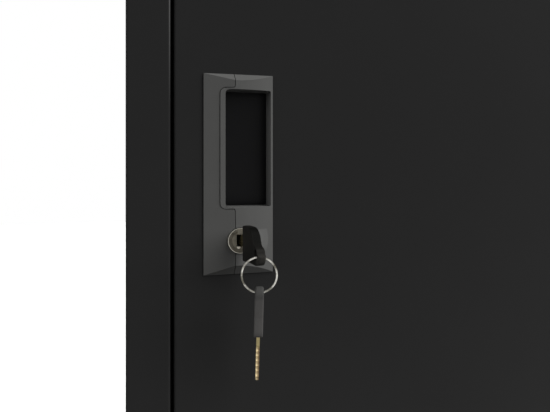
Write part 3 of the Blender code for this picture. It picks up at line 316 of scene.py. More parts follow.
# Coat rail, hinge pins and screws: drawn steel, bright as it leaves the die.
# Drawing leaves long faint lines along the bar, so the highlights are slightly streaked. The real
# lines are some hundredths of a millimetre apart, so they are drawn coarser to show.
STREAK_WIDTH = 0.7 * MM
STREAK_STRETCH = 0.08
PIN_EDGE = 0.3 * MM
bright_steel, tree, shader, place = start_material("bright_drawn_steel", 0.26, metallic=1.0)
stretch = add_node(tree, "Mapping", {"Vector": place}, {"Scale": (STREAK_STRETCH, 1.0, 1.0)})
streak = add_node(
    tree, "TexNoise", {"Vector": stretch.outputs[0]}, {"Scale": 1 / STREAK_WIDTH, "Detail": 3.0},
)
tone = add_node(
    tree, "Mix", {0: streak.outputs["Fac"]}, {6: linear("#a9aaa9"), 7: linear("#cfcfcc")}, data_type="RGBA",
)
polish = add_node(tree, "MapRange", {"Value": streak.outputs["Fac"]}, {"To Min": 0.20, "To Max": 0.34})
tree.links.new(tone.outputs[2], shader.inputs["Base Color"])
tree.links.new(polish.outputs[0], shader.inputs["Roughness"])
finish_nodes(bright_steel, [
    "coat_rail", "upper_hinge_pin", "lower_hinge_pin", "upper_pull_screw", "lower_pull_screw",
    "upper_bezel_screw", "lower_bezel_screw", "cam_screw",
])
for name in ("upper_hinge_pin", "lower_hinge_pin"):
    soften(name, PIN_EDGE)

# Pull: two mouldings of grey ABS, the narrow left one and the right one with lip, recess and lock boss.
# They meet in a stepped seam and are screwed from behind. The mould has a fine satin texture. The right
# wall of the recess is painted lighter as painted light, and a painted highlight lies on the boss beside the
# lock.
SATIN_WIDTH = 0.5 * MM
PULL_CLOUD_WIDTH = 25 * MM
PULL_EDGE = 0.35 * MM
PULL_EDGE_STEPS = 3
PULL_EDGE_ANGLE = 24
BOSS_HIGHLIGHT_RADIUS = 20.0 * MM
BOSS_HIGHLIGHT_TOP = 6.5 * MM
BOSS_HIGHLIGHT_FADE = 0.8 * MM
BOSS_HIGHLIGHT_BESIDE = (6 * MM, 9 * MM)
BOSS_HIGHLIGHT_FOOT = (-10 * MM, -4 * MM)
WALL_INSET = 1.6 * MM
WALL_HALF = 0.35 * MM
WALL_FORWARD = 0.6 * MM
joints = {joint["name"]: joint for joint in frame["joints"]}
lock_centre = np.array(joints["lock_turn"]["pos_m"])
recess_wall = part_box("handle_pull")[1].x - WALL_INSET - lock_centre[0]
wall_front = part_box("door_panel")[0].y - WALL_FORWARD - lock_centre[1]

# The real satin texture is about a tenth of a millimetre wide, so it is drawn coarser to show.
pull_plastic, tree, shader, place = start_material("grey_satin_abs", 0.55, specular=0.04)
texture = add_node(tree, "TexNoise", {"Vector": place}, {"Scale": 1 / SATIN_WIDTH, "Detail": 2.0})
cloud = add_node(tree, "TexNoise", {"Vector": place}, {"Scale": 1 / PULL_CLOUD_WIDTH, "Detail": 3.0})
even_grey = add_node(
    tree, "Mix", {0: cloud.outputs["Fac"]}, {6: linear("#494948"), 7: linear("#4d4d4c")}, data_type="RGBA",
)
# Painted highlight: a lighter crescent on the boss, to the right of the lock.
from_lock = add_node(tree, "VectorMath", {0: place}, {1: tuple(lock_centre)}, operation="SUBTRACT")
offset = add_node(tree, "SeparateXYZ", {0: from_lock.outputs[0]}).outputs
level = add_node(tree, "VectorMath", {0: from_lock.outputs[0]}, {1: (1, 0, 1)}, operation="MULTIPLY")
radius = add_node(tree, "VectorMath", {0: level.outputs[0]}, operation="LENGTH")
boss = add_node(
    tree, "MapRange", {"Value": radius.outputs["Value"]},
    {"From Min": BOSS_HIGHLIGHT_RADIUS + BOSS_HIGHLIGHT_FADE, "From Max": BOSS_HIGHLIGHT_RADIUS},
)
beside = add_node(
    tree, "MapRange", {"Value": offset["X"]}, {"From Min": BOSS_HIGHLIGHT_BESIDE[0], "From Max": BOSS_HIGHLIGHT_BESIDE[1]},
)
topped = add_node(
    tree, "MapRange", {"Value": offset["Z"]}, {"From Min": BOSS_HIGHLIGHT_TOP + BOSS_HIGHLIGHT_FADE, "From Max": BOSS_HIGHLIGHT_TOP},
)
footed = add_node(
    tree, "MapRange", {"Value": offset["Z"]}, {"From Min": BOSS_HIGHLIGHT_FOOT[0], "From Max": BOSS_HIGHLIGHT_FOOT[1]},
)
side = add_node(tree, "Math", {0: boss.outputs[0], 1: beside.outputs[0]}, operation="MULTIPLY")
ends = add_node(tree, "Math", {0: topped.outputs[0], 1: footed.outputs[0]}, operation="MULTIPLY")
boss_highlight = add_node(tree, "Math", {0: side.outputs[0], 1: ends.outputs[0]}, operation="MULTIPLY")
boss_highlight_tone = add_node(
    tree, "Mix", {0: boss_highlight.outputs[0], 6: even_grey.outputs[2]}, {7: linear("#555554")}, data_type="RGBA",
)
# Painted light: the recess's right wall, which faces left, is painted a lighter grey.
near_wall = add_node(tree, "Math", {0: offset["X"]}, {1: recess_wall, 2: WALL_HALF}, operation="COMPARE")
inside = add_node(tree, "Math", {0: offset["Y"]}, {1: wall_front}, operation="GREATER_THAN")
wall_light = add_node(tree, "Math", {0: near_wall.outputs[0], 1: inside.outputs[0]}, operation="MULTIPLY")
lit_wall_tone = add_node(
    tree, "Mix", {0: wall_light.outputs[0], 6: boss_highlight_tone.outputs[2]}, {7: linear("#5e5e5d")}, data_type="RGBA",
)
relief = add_node(
    tree, "Bump", {"Height": texture.outputs["Fac"]}, {"Strength": 0.08, "Distance": 0.05 * MM},
)
sheen = add_node(tree, "MapRange", {"Value": texture.outputs["Fac"]}, {"To Min": 0.48, "To Max": 0.60})
tree.links.new(lit_wall_tone.outputs[2], shader.inputs["Base Color"])
tree.links.new(sheen.outputs[0], shader.inputs["Roughness"])
tree.links.new(relief.outputs[0], shader.inputs["Normal"])
mouldings = ("handle_bezel", "handle_pull")
finish_nodes(pull_plastic, mouldings)
for name in mouldings:
    soften(name, PULL_EDGE, PULL_EDGE_STEPS, PULL_EDGE_ANGLE)

# Recess back: a plain black plate of polypropylene, clipped behind the finger recess. It is dull,
# and its tone is pushed below the other fittings' as painted shade, so the recess reads as a dark pocket.
recess_shade_black, tree, shader, place = start_material("dull_black_polypropylene", 0.35, specular=0.08)
grain = add_node(tree, "TexNoise", {"Vector": place}, {"Scale": 1 / FITTING_GRAIN, "Detail": 2.0})
tone = add_node(
    tree, "Mix", {0: grain.outputs["Fac"]}, {6: linear("#040405"), 7: linear("#080809")}, data_type="RGBA",
)
tree.links.new(tone.outputs[2], shader.inputs["Base Color"])
finish_nodes(recess_shade_black, ["recess_back"])

# Lock: a die-cast barrel with a turned, nickel-plated face, and a plug with the keyway.
# The satin plating is warm grey, with rings left by the turning tool and a rim that is rubbed bright.
# The face has a painted glint at the keyway's foot and a painted highlight above the keyway.
TURNING_PITCH = 0.35 * MM
PLATING_PATCH = 3 * MM
RIM_START = 8.05 * MM
RIM_FULL = 8.25 * MM
KEYWAY_FOOT = (-1.3 * MM, 0, -4.1 * MM)
FOOT_GLINT = (1.5 * MM, 0.9 * MM)
KEYWAY_HEAD = (0, 0, 6.0 * MM)
HEAD_HIGHLIGHT = (2.6 * MM, 1.2 * MM)
PLUG_EDGE = 0.12 * MM
LOCK_HEAD = 8.5 * MM
LOCK_BODY = 8.0 * MM
LOCK_BORE = 5.85 * MM
LOCK_HEAD_DEPTH = 3.6 * MM
LOCK_EDGE = 0.15 * MM
RIM_WIDTH = 0.7 * MM
RIM_CREST = 0.4 * MM
RIM_SETBACK = 0.2 * MM
FACE_SETBACK = 0.3 * MM
BORE_SETBACK = 0.4 * MM

# The real turning rings are about a tenth of a millimetre apart, so they are drawn coarser to show.
nickel, tree, shader, place = start_material("satin_nickel_plating", 0.42, metallic=1.0)
centred = add_node(
    tree, "Mapping", {"Vector": place},
    {"Location": (-lock_centre[0], 0.0, -lock_centre[2]), "Scale": (1, 0, 1)},
)
radius = add_node(tree, "VectorMath", {0: centred.outputs[0]}, operation="LENGTH")
rings = add_node(
    tree, "TexNoise", {"W": radius.outputs["Value"]}, {"Scale": 1 / TURNING_PITCH, "Detail": 2.0},
    noise_dimensions="1D",
)
patch = add_node(tree, "TexNoise", {"Vector": place}, {"Scale": 1 / PLATING_PATCH, "Detail": 3.0})
blend = add_node(tree, "Math", {0: rings.outputs["Fac"], 1: patch.outputs["Fac"]}, operation="MULTIPLY")
face = add_node(
    tree, "Mix", {0: blend.outputs[0]}, {6: linear("#3f3c34"), 7: linear("#a09a8c")}, data_type="RGBA",
)
rim = add_node(
    tree, "MapRange", {"Value": radius.outputs["Value"]}, {"From Min": RIM_START, "From Max": RIM_FULL},
)
rim_tone = add_node(
    tree, "Mix", {0: rim.outputs[0], 6: face.outputs[2]}, {7: linear("#a9a69d")}, data_type="RGBA",
)
# Painted glint: a bright spot on the face at the keyway's foot.
from_foot = add_node(tree, "VectorMath", {0: centred.outputs[0]}, {1: KEYWAY_FOOT}, operation="DISTANCE")
highlight_mask = add_node(
    tree, "MapRange", {"Value": from_foot.outputs["Value"]},
    {"From Min": FOOT_GLINT[0], "From Max": FOOT_GLINT[1]},
)
foot_glint_tone = add_node(
    tree, "Mix", {0: highlight_mask.outputs[0], 6: rim_tone.outputs[2]}, {7: linear("#d2cdc0")}, data_type="RGBA",
)
# Painted highlight: a lighter patch on the face above the keyway.
from_head = add_node(tree, "VectorMath", {0: centred.outputs[0]}, {1: KEYWAY_HEAD}, operation="DISTANCE")
head_highlight = add_node(
    tree, "MapRange", {"Value": from_head.outputs["Value"]},
    {"From Min": HEAD_HIGHLIGHT[0], "From Max": HEAD_HIGHLIGHT[1]},
)
tone = add_node(
    tree, "Mix", {0: head_highlight.outputs[0], 6: foot_glint_tone.outputs[2]}, {7: linear("#8f8a7e")}, data_type="RGBA",
)
turning = add_node(
    tree, "Bump", {"Height": rings.outputs["Fac"]}, {"Strength": 0.25, "Distance": 0.05 * MM},
)
tree.links.new(tone.outputs[2], shader.inputs["Base Color"])
tree.links.new(turning.outputs[0], shader.inputs["Normal"])
finish_nodes(nickel, ["lock_plug"])
soften("lock_plug", PLUG_EDGE)
low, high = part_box("lock_barrel")
front = low.y - lock_centre[1]
rear = high.y - lock_centre[1]
shoulder = front + LOCK_HEAD_DEPTH
barrel_profile = rounded([
    (LOCK_BORE, rear), (LOCK_BORE, front + BORE_SETBACK), (LOCK_HEAD - RIM_WIDTH, front + FACE_SETBACK),
    (LOCK_HEAD - RIM_CREST, front), (LOCK_HEAD, front + RIM_SETBACK), (LOCK_HEAD, shoulder),
    (LOCK_BODY, shoulder), (LOCK_BODY, rear), (LOCK_BORE, rear),
], LOCK_EDGE)
barrel = turned(barrel_profile, lock_centre, Y_AXIS, 96)
surface("lock_barrel_turning", barrel, nickel, "door", "lock_barrel")

# Keys: a head of black glass-filled nylon, moulded over the tang of a stamped brass blade.
# The head is a flat pad with rounded edges, and a lug low on its outer end has a slot for the ring.
# One key sits tilted in the lock, and the spare key hangs from the ring, leaning a little.
HEAD_HALF = 2.75 * MM
HEAD_EDGE = 0.7 * MM
PAD_OUTER = 4.5 * MM
PAD_INNER = 24.0 * MM
PAD_HALF = 11.25 * MM
PAD_DROP = 0.95 * MM
OUTER_CORNER = 9.0 * MM
INNER_CORNER = 1.5 * MM
SLOT_EDGE = 0.6 * MM
SLOT_RADIUS = 2.4 * MM
SLOT_LOW = -5.2 * MM
SLOT_HIGH = -3.2 * MM
LUG_TOP_RADIUS = 3.2 * MM
LUG_TOP_INWARD = 0.2 * MM
LUG_RADIUS = 6.0 * MM
LUG_INWARD = 0.5 * MM
LUG_ROOT = 12.0 * MM
LUG_ROOT_TOP = 4.0 * MM
LUG_SHOULDER = (4.6 * MM, 2.6 * MM)
LUG_ROUNDING = 1.4
EDGE_SHARE = 0.6
SLOT_EDGE_SHARE = 0.4
LEAST_SQUARE = 0.4
KEY_TILT = math.radians(7)
SPARE_LEAN = math.radians(1.5)


def arc(centre, radius, start, sweep, steps=16):
    """Points of an arc: the centre plus the radius times the cosine and sine of evenly spaced angles."""
    angle = np.radians(np.linspace(start, start + sweep, steps))
    return np.array(centre) + radius * np.stack([np.cos(angle), np.sin(angle)], axis=-1)


def reach(outline, ray):
    """Distance from the origin to the farthest crossing of each ray with the closed outline.

    A ray and an edge are solved as two lines: the cross product of edge start and edge step, over
    that of ray and edge step, is the distance, and it counts where the crossing lies on the edge.
    """
    step = np.roll(outline, -1, axis=0) - outline
    slant = ray[:, :1] * step[:, 1] - ray[:, 1:] * step[:, 0]
    slant = np.where(np.abs(slant) < 1e-12, 1e-12, slant)
    distance = (outline[:, 0] * step[:, 1] - outline[:, 1] * step[:, 0]) / slant
    share = (outline[:, 0] * ray[:, 1:] - outline[:, 1] * ray[:, :1]) / slant
    return np.where((share >= 0) & (share <= 1) & (distance > 0), distance, 0).max(axis=1)


def head_points():
    """Grid of a key's head in its own axes: each row is a loop round the ring slot.

    The loops start at the slot's wall, turn over its edge, cross one face, turn over the outer edge
    in a half round, wider at the lug's end, and come back over the other face. A loop's points lie on
    rays from the slot's middle, between the slot's outline and that of the pad and its lug. Neither
    rounding takes more than a share of the wall between the two outlines.
    """
    middle = np.array([0.0, (SLOT_LOW + SLOT_HIGH) / 2])
    angle = np.linspace(0, 2 * np.pi, 240, endpoint=False)
    ray = np.stack([np.cos(angle), np.sin(angle)], axis=-1)
    slot = np.concatenate([
        arc((0, SLOT_HIGH), SLOT_RADIUS, 0, 180), arc((0, SLOT_LOW), SLOT_RADIUS, 180, 180),
    ])
    lug = np.concatenate([
        arc((LUG_TOP_INWARD, SLOT_HIGH), LUG_TOP_RADIUS, 90, 90),
        arc((LUG_INWARD, SLOT_LOW), LUG_RADIUS, 180, 90),
        [[LUG_ROOT, SLOT_LOW - LUG_RADIUS], [LUG_ROOT, LUG_ROOT_TOP], LUG_SHOULDER],
    ])
    outer_centre = PAD_OUTER + OUTER_CORNER
    inner_centre = PAD_INNER - INNER_CORNER
    pad = np.concatenate([
        arc((outer_centre, PAD_HALF - OUTER_CORNER), OUTER_CORNER, 90, 90),
        arc((outer_centre, OUTER_CORNER - PAD_HALF), OUTER_CORNER, 180, 90),
        arc((inner_centre, INNER_CORNER - PAD_HALF - PAD_DROP), INNER_CORNER, 270, 90),
        arc((inner_centre, PAD_HALF - INNER_CORNER), INNER_CORNER, 0, 90),
    ])
    inner = reach(slot - middle, ray)
    outer = np.maximum(reach(lug - middle, ray), reach(pad - middle, ray))
    rim = outer[:, None] * ray
    tangent = np.roll(rim, -1, axis=0) - np.roll(rim, 1, axis=0)
    slant = np.abs(tangent[:, 0] * ray[:, 1] - tangent[:, 1] * ray[:, 0])
    square = np.clip(slant / np.linalg.norm(tangent, axis=1), LEAST_SQUARE, 1)
    turn = np.radians(np.linspace(0, 90, 9))[:, None]
    room = outer - inner
    wide_edge = HEAD_EDGE * (1 + LUG_ROUNDING * np.clip(-ray[:, 0], 0, 1))
    edge = np.minimum(wide_edge, EDGE_SHARE * room * square)
    bevel = np.minimum(SLOT_EDGE, SLOT_EDGE_SHARE * room)
    over_slot = inner + bevel * (1 - np.cos(turn))
    over_edge = outer - edge * (1 - np.sin(turn)) / square
    half = np.concatenate([over_slot, over_edge])
    slot_side = HEAD_HALF - bevel * (1 - np.sin(turn))
    edge_side = HEAD_HALF - edge * (1 - np.cos(turn))
    side = np.concatenate([slot_side, edge_side])
    distance = np.concatenate([half, half[::-1], half[:1]])
    height = np.concatenate([side, -side[::-1], side[:1]])
    flat = middle + distance[:, :, None] * ray
    return np.concatenate([height[:, :, None], flat], axis=-1)


BLADE_TANG = 16.3 * MM
BLADE_START = 31.3 * MM
BLADE_END = 52.5 * MM
SPARE_BLADE_END = 53.6 * MM
BLADE_TIP = 3.0 * MM
BLADE_EDGE = 3.75 * MM
TIP_EDGE = 1.5 * MM
BLADE_HALF = 1.05 * MM
BLADE_ROUNDING = 0.35 * MM
CUT_HALF_DEPTH = 0.35 * MM
CUT_COUNT = 6
CUT_PITCH = (BLADE_END - BLADE_START - BLADE_TIP) / CUT_COUNT
GROOVE_DEPTH = 0.40 * MM
GROOVE_HALF = 0.8 * MM
GROOVE_PLACE = 0.9 * MM
GROOVE_LEAD = 6.0 * MM


def blade_points(end):
    """Grid of a key blade along its own y: each row is the loop of one cross-section.

    The half width is even, less a cosine wave for the cuts, and tapers at the tip. The half thickness
    is even, less a parabola for the groove in each face, and falls off in a small arc at the edges.
    The first and last rows shrink to a point, which closes the ends.
    """
    along = np.linspace(BLADE_TANG, end, 240)
    cut = CUT_HALF_DEPTH * (1 - np.cos(2 * np.pi * (along - BLADE_START) / CUT_PITCH))
    is_cut = (along > BLADE_START) & (along < BLADE_START + CUT_COUNT * CUT_PITCH)
    taper = (along - end + BLADE_TIP) * (BLADE_EDGE - TIP_EDGE) / BLADE_TIP
    half = np.minimum(BLADE_EDGE - cut * is_cut, BLADE_EDGE - taper)
    height = half[:, None] * np.linspace(-1, 1, 29)
    from_edge = half[:, None] - np.abs(height)
    rim = np.clip(1 - from_edge / BLADE_ROUNDING, 0, 1)
    body = BLADE_HALF - BLADE_ROUNDING * (1 - np.sqrt(1 - rim ** 2))
    right_groove = GROOVE_DEPTH * np.clip(1 - ((height - GROOVE_PLACE) / GROOVE_HALF) ** 2, 0, 1)
    left_groove = GROOVE_DEPTH * np.clip(1 - ((height + GROOVE_PLACE) / GROOVE_HALF) ** 2, 0, 1)
    milled = (along > BLADE_START - GROOVE_LEAD)[:, None]
    length = np.broadcast_to(along[:, None], body.shape)
    right = np.stack([body - right_groove * milled, length, height], axis=-1)
    left = np.stack([left_groove * milled - body, length, height], axis=-1)
    loop = np.concatenate([right, left[:, ::-1]], axis=1)
    ends = np.zeros((2, *loop.shape[1:]))
    ends[:, :, 1] = np.array([BLADE_TANG, end])[:, None]
    return np.concatenate([ends[:1], loop, ends[1:]])


ring_pivot = np.array(joints["ring_swing"]["pos_m"])
ring_axis = np.array(joints["ring_swing"]["axis"])
spare_pivot = np.array(joints["spare_key_swing"]["pos_m"])
upright = np.array([0, 0, 1.0])
key_origin = np.array([ring_pivot[0], ring_pivot[1], lock_centre[2]])
key_right = np.array([math.cos(KEY_TILT), math.sin(KEY_TILT), 0])
key_inward = np.array([-math.sin(KEY_TILT), math.cos(KEY_TILT), 0])
key_axes = np.array([key_right, key_inward, upright])
spare_right = math.cos(SPARE_LEAN) * ring_axis - math.sin(SPARE_LEAN) * upright
spare_down = -math.cos(SPARE_LEAN) * upright - math.sin(SPARE_LEAN) * ring_axis
spare_axes = np.array([spare_right, spare_down, np.cross(spare_right, spare_down)])
spare_sag = spare_pivot[2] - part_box("spare_key_blade")[0].z - BLADE_END
spare_origin = spare_pivot + (0.0, spare_sag, -SLOT_HIGH) @ spare_axes

# The nylon is nearly matt. The key's outer end round the lug is a painted highlight, and the pad's narrow
# upper edge is painted shade, as black as its face. The real grain is about a tenth of a millimetre wide, so
# it is drawn coarser to show.
NYLON_GRAIN = 0.5 * MM
LUG_HIGHLIGHT = (-1 * MM, -5 * MM)
PAD_SHADE_RIM = (0.05 * MM, 0.7 * MM)
PAD_SHADE_RISE = 2.5 * MM
black_nylon, tree, shader, place = start_material("black_moulded_nylon", 0.50, specular=0.07)
grain = add_node(tree, "TexNoise", {"Vector": place}, {"Scale": 1 / NYLON_GRAIN, "Detail": 2.0})
even_black = add_node(
    tree, "Mix", {0: grain.outputs["Fac"]}, {6: linear("#0f0f0e"), 7: linear("#141312")}, data_type="RGBA",
)
spot = add_node(tree, "SeparateXYZ", {0: place}).outputs
# Painted highlight: the key's outer end, past the ring's pivot, is a lighter grey.
highlight_band = add_node(
    tree, "MapRange", {"Value": spot["Y"]},
    {"From Min": ring_pivot[1] + LUG_HIGHLIGHT[0], "From Max": ring_pivot[1] + LUG_HIGHLIGHT[1]},
)
lug_highlight_tone = add_node(
    tree, "Mix", {0: highlight_band.outputs[0], 6: even_black.outputs[2]}, {7: linear("#232220")}, data_type="RGBA",
)
# Painted shade: the pad's upper edge, right of its left face, is painted near black.
across = add_node(tree, "VectorMath", {0: place}, {1: tuple(key_right)}, operation="DOT_PRODUCT")
left_face = float(key_right @ key_origin) - HEAD_HALF
rim = add_node(
    tree, "MapRange", {"Value": across.outputs["Value"]},
    {"From Min": left_face + PAD_SHADE_RIM[0], "From Max": left_face + PAD_SHADE_RIM[1]},
)
above = add_node(
    tree, "MapRange", {"Value": spot["Z"]},
    {"From Min": key_origin[2], "From Max": key_origin[2] + PAD_SHADE_RISE},
)
dark = add_node(tree, "Math", {0: rim.outputs[0], 1: above.outputs[0]}, operation="MULTIPLY")
tone = add_node(
    tree, "Mix", {0: dark.outputs[0], 6: lug_highlight_tone.outputs[2]}, {7: linear("#080807")}, data_type="RGBA",
)
relief = add_node(
    tree, "Bump", {"Height": grain.outputs["Fac"]}, {"Strength": 0.10, "Distance": 0.08 * MM},
)
tree.links.new(tone.outputs[2], shader.inputs["Base Color"])
tree.links.new(relief.outputs[0], shader.inputs["Normal"])

# The spare key's head is a lighter grey copy of the same nylon, as painted light, darker towards the end that
# hangs on the ring.
SPARE_PATCH_WIDTH = 6 * MM
SPARE_END = (-3.5 * MM, -1 * MM)
spare_lit_nylon, tree, shader, place = start_material("rubbed_black_nylon", 0.52, specular=0.12)
grain = add_node(tree, "TexNoise", {"Vector": place}, {"Scale": 1 / NYLON_GRAIN, "Detail": 2.0})
spare_patches = add_node(tree, "TexNoise", {"Vector": place}, {"Scale": 1 / SPARE_PATCH_WIDTH, "Detail": 3.0})
lit_grey = add_node(
    tree, "Mix", {0: spare_patches.outputs["Fac"]}, {6: linear("#3c3b3a"), 7: linear("#464544")}, data_type="RGBA",
)
height = add_node(tree, "SeparateXYZ", {0: place}).outputs["Z"]
hung = add_node(
    tree, "MapRange", {"Value": height},
    {"From Min": spare_pivot[2] + SPARE_END[0], "From Max": spare_pivot[2] + SPARE_END[1]},
)
tone = add_node(
    tree, "Mix", {0: hung.outputs[0], 6: lit_grey.outputs[2]}, {7: linear("#343433")}, data_type="RGBA",
)
relief = add_node(
    tree, "Bump", {"Height": grain.outputs["Fac"]}, {"Strength": 0.10, "Distance": 0.08 * MM},
)
tree.links.new(tone.outputs[2], shader.inputs["Base Color"])
tree.links.new(relief.outputs[0], shader.inputs["Normal"])

# The blades' brass is olive and dull on the shank. On the milled part, painted highlights lie on the
# lands between the cuts, and the cuts and the right flank are painted brown as painted shade. The tool marks
# are drawn coarser than the real ones, which are some hundredths of a millimetre wide.
MILL_WIDTH = 0.6 * MM
FLANK_FADE = 0.5 * MM
MILLED_FADE = (-0.5 * MM, -2.5 * MM)
brass, tree, shader, place = start_material("milled_brass", 0.40, metallic=1.0)
cuts_start = spare_origin[2] - BLADE_START
turns = 2 * math.pi / CUT_PITCH
blade_middle = float(spare_right @ spare_origin)
height = add_node(tree, "SeparateXYZ", {0: place}).outputs["Z"]
# Painted highlight on the lands and painted shade in the cuts, from a wave along the height.
wave = add_node(
    tree, "Math", {0: height}, {1: turns, 2: -turns * cuts_start}, operation="MULTIPLY_ADD",
)
land = add_node(tree, "Math", {0: wave.outputs[0]}, operation="COSINE")
land_highlight = add_node(tree, "MapRange", {"Value": land.outputs[0]}, {"From Min": -1.0, "To Min": 0.45})
# Painted shade on the blade's right flank, painted highlight on its left.
flank = add_node(tree, "VectorMath", {0: place}, {1: tuple(spare_right)}, operation="DOT_PRODUCT")
lit_flank = add_node(
    tree, "MapRange", {"Value": flank.outputs["Value"]},
    {
        "From Min": blade_middle + FLANK_FADE, "From Max": blade_middle - FLANK_FADE,
        "To Min": 0.12, "To Max": 0.85,
    },
)
painted_glint = add_node(tree, "Math", {0: land_highlight.outputs[0], 1: lit_flank.outputs[0]}, operation="MULTIPLY")
milled = add_node(
    tree, "Mix", {0: painted_glint.outputs[0]}, {6: linear("#5a4630"), 7: linear("#f0dbac")}, data_type="RGBA",
)
mill = add_node(tree, "TexNoise", {"Vector": place}, {"Scale": 1 / MILL_WIDTH, "Detail": 3.0})
shank = add_node(
    tree, "Mix", {0: mill.outputs["Fac"]}, {6: linear("#6f6549"), 7: linear("#8f8460")}, data_type="RGBA",
)
below = add_node(
    tree, "MapRange", {"Value": height},
    {"From Min": cuts_start + MILLED_FADE[0], "From Max": cuts_start + MILLED_FADE[1]},
)
tone = add_node(
    tree, "Mix", {0: below.outputs[0], 6: shank.outputs[2], 7: milled.outputs[2]}, data_type="RGBA",
)
wear = add_node(tree, "MapRange", {"Value": mill.outputs["Fac"]}, {"To Min": 0.32, "To Max": 0.50})
tree.links.new(tone.outputs[2], shader.inputs["Base Color"])
tree.links.new(wear.outputs[0], shader.inputs["Roughness"])

for name, origin, axes, end, plastic in (
    ("key", key_origin, key_axes, BLADE_END, black_nylon),
    ("spare_key", spare_origin, spare_axes, SPARE_BLADE_END, spare_lit_nylon),
):
    head = origin + head_points() @ axes
    blade = origin + blade_points(end) @ axes
    surface(name + "_head", head, plastic, name, name + "_bow")
    surface(name + "_milling", blade, brass, name, name + "_blade")

# Key ring: a split ring, one flat spring-steel wire wound twice round.
# The turns lie side by side, cross over in one place, and the ends show as small steps. The wire
# is tumbled, not polished, so it is a darker grey than the drawn bars, with scuffed patches.
SCUFF_WIDTH = 5 * MM
RING_MIDDLE = 10.9 * MM
RING_START = math.radians(200)
RING_SWEEP = math.radians(715)
CROSSING_START = 0.44
CROSSING_SHARE = 0.12
TURN_OFFSET = 0.375 * MM
WIRE_HALF_HEIGHT = 0.58 * MM
WIRE_HALF_WIDTH = 0.36 * MM
WIRE_SQUARENESS = 0.7
spring_steel, tree, shader, place = start_material("tumbled_spring_steel", 0.30, metallic=1.0)
scuff = add_node(tree, "TexNoise", {"Vector": place}, {"Scale": 1 / SCUFF_WIDTH, "Detail": 4.0})
patch = add_node(tree, "MapRange", {"Value": scuff.outputs["Fac"]}, {"From Min": 0.4, "From Max": 0.6})
tone = add_node(
    tree, "Mix", {0: patch.outputs[0]}, {6: linear("#5b5950"), 7: linear("#bbb9b3")}, data_type="RGBA",
)
wear = add_node(tree, "MapRange", {"Value": scuff.outputs["Fac"]}, {"To Min": 0.22, "To Max": 0.40})
tree.links.new(tone.outputs[2], shader.inputs["Base Color"])
tree.links.new(wear.outputs[0], shader.inputs["Roughness"])


def ring_points():
    """Grid of the split ring: each row is the loop of one cross-section of the wire.

    The cross-section is a rounded rectangle: half a height times the cosine and half a width times
    the sine, both raised to a power below one with their signs kept. It goes round the ring's middle
    at an even radius, and moves from one side to the other in an S-curve where the turns cross. The
    first and last rows shrink to a point, which closes the ends.
    """
    angle = np.linspace(RING_START, RING_START + RING_SWEEP, 260)
    share = (angle - angle[0]) / (angle[-1] - angle[0])
    crossing = np.clip((share - CROSSING_START) / CROSSING_SHARE, 0, 1)
    sideways = TURN_OFFSET * (2 * crossing ** 2 * (3 - 2 * crossing) - 1)
    turn = np.linspace(0, 2 * np.pi, 16, endpoint=False)
    out = WIRE_HALF_HEIGHT * np.sign(np.cos(turn)) * np.abs(np.cos(turn)) ** WIRE_SQUARENESS
    side = WIRE_HALF_WIDTH * np.sign(np.sin(turn)) * np.abs(np.sin(turn)) ** WIRE_SQUARENESS
    outward = np.cos(angle)[:, None] * ring_axis + np.sin(angle)[:, None] * upright
    grid = (
        ring_pivot - upright * RING_MIDDLE
        + (RING_MIDDLE + out)[None, :, None] * outward[:, None, :]
        + (sideways[:, None] + side)[:, :, None] * np.cross(ring_axis, upright)
    )
    ends = np.repeat(grid[[0, -1]].mean(axis=1, keepdims=True), len(turn), axis=1)
    return np.concatenate([ends[:1], grid, ends[1:]])


surface("key_ring_split", ring_points(), spring_steel, "ring", "key_ring")

# Studio: a pale floor, and a white surround that the camera and the metal see, with one broad lamp
# from the upper right and weak fills from the left and from behind. The floor throws little light
# back up, as the ground under a tall locker does at the height of its pull.
FLOOR_HALF = 8.0
LAMP_SIZE = math.radians(60)
studio = bpy.context.scene


def seen_rays(tree):
    """Mask that is one for rays from the camera, a mirror or glass, and zero for other light."""
    rays = add_node(tree, "LightPath").outputs
    seen = add_node(tree, "Math", {0: rays["Is Camera Ray"], 1: rays["Is Glossy Ray"]}, operation="MAXIMUM")
    shown = add_node(tree, "Math", {0: seen.outputs[0], 1: rays["Is Transmission Ray"]}, operation="MAXIMUM")
    return shown.outputs[0]


floor_mesh = bpy.data.meshes.new("floor")
corners = [(x * FLOOR_HALF, y * FLOOR_HALF, 0) for x, y in ((-1, -1), (1, -1), (1, 1), (-1, 1))]
floor_mesh.from_pydata(corners, [], [(0, 1, 2, 3)])
floor = bpy.data.objects.new("floor", floor_mesh)
studio.collection.objects.link(floor)
floor_paint, tree, shader, place = start_material("pale_floor", 0.8, specular=0.1)
tone = add_node(
    tree, "Mix", {0: seen_rays(tree)}, {6: linear("#282828"), 7: linear("#f2f2f1")}, data_type="RGBA",
)
tree.links.new(tone.outputs[2], shader.inputs["Base Color"])
floor_mesh.materials.append(floor_paint)

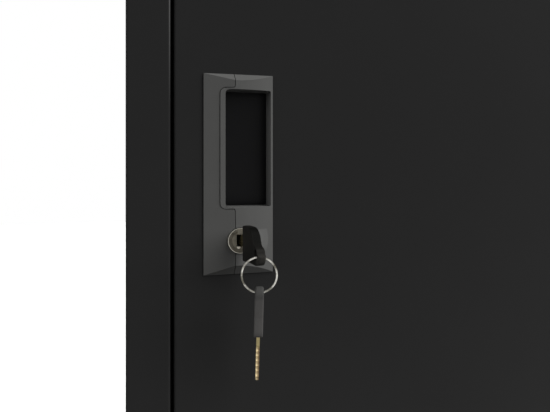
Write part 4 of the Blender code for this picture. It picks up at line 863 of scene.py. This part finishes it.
world = studio.world or bpy.data.worlds.new("studio")
studio.world = world
world.use_nodes = True
tree = world.node_tree
tree.nodes.clear()
dim = add_node(tree, "Background", values={"Color": (1, 1, 1, 1), "Strength": 0.09})
white = add_node(tree, "Background", values={"Color": (1, 1, 1, 1), "Strength": 1.0})
mix = add_node(tree, "MixShader", {0: seen_rays(tree), 1: dim.outputs[0], 2: white.outputs[0]})
add_node(tree, "OutputWorld", {"Surface": mix.outputs[0]})

for name, energy, towards in (
    ("upper_right_lamp", 5.9, (1.33, -1.0, 1.35)),
    ("left_fill", 1.5, (-1.0, -0.3, 0.2)),
    ("back_fill", 1.0, (0.3, 1.0, 0.6)),
):
    lamp = bpy.data.lights.new(name, "SUN")
    lamp.energy = energy
    lamp.angle = LAMP_SIZE
    lamp_object = bpy.data.objects.new(name, lamp)
    studio.collection.objects.link(lamp_object)
    lamp_object.rotation_euler = Vector(towards).to_track_quat("Z", "Y").to_euler()
    lamp_object.visible_glossy = False

# Camera: in the plane of the locker's left side, before the door and a little above the pull's middle.
# It is level and turned to the right. The picture is framed low by a shift, which keeps upright edges
# upright. Picture sizes are in pixels of a frame 550 wide and 412 high.
PICTURE_WIDTH = 550
FOCAL_LENGTH = 530
PICTURE_SHIFT = -44
CAMERA_DISTANCE = 356.2 * MM
CAMERA_HEIGHT = 938 * MM
CAMERA_TURN = math.radians(15.745)
camera = bpy.data.cameras.new("camera")
camera.sensor_fit = "HORIZONTAL"
camera.sensor_width = 36.0
camera.lens = camera.sensor_width * FOCAL_LENGTH / PICTURE_WIDTH
camera.shift_y = PICTURE_SHIFT / PICTURE_WIDTH
camera.clip_start = 10 * MM
camera_object = bpy.data.objects.new("camera", camera)
door_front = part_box("door_panel")[0].y
camera_object.location = (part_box("left_side_panel")[0].x, door_front - CAMERA_DISTANCE, CAMERA_HEIGHT)
camera_object.rotation_euler = (math.pi / 2, 0.0, -CAMERA_TURN)
studio.collection.objects.link(camera_object)
studio.camera = camera_object
studio.view_settings.view_transform = "Standard"
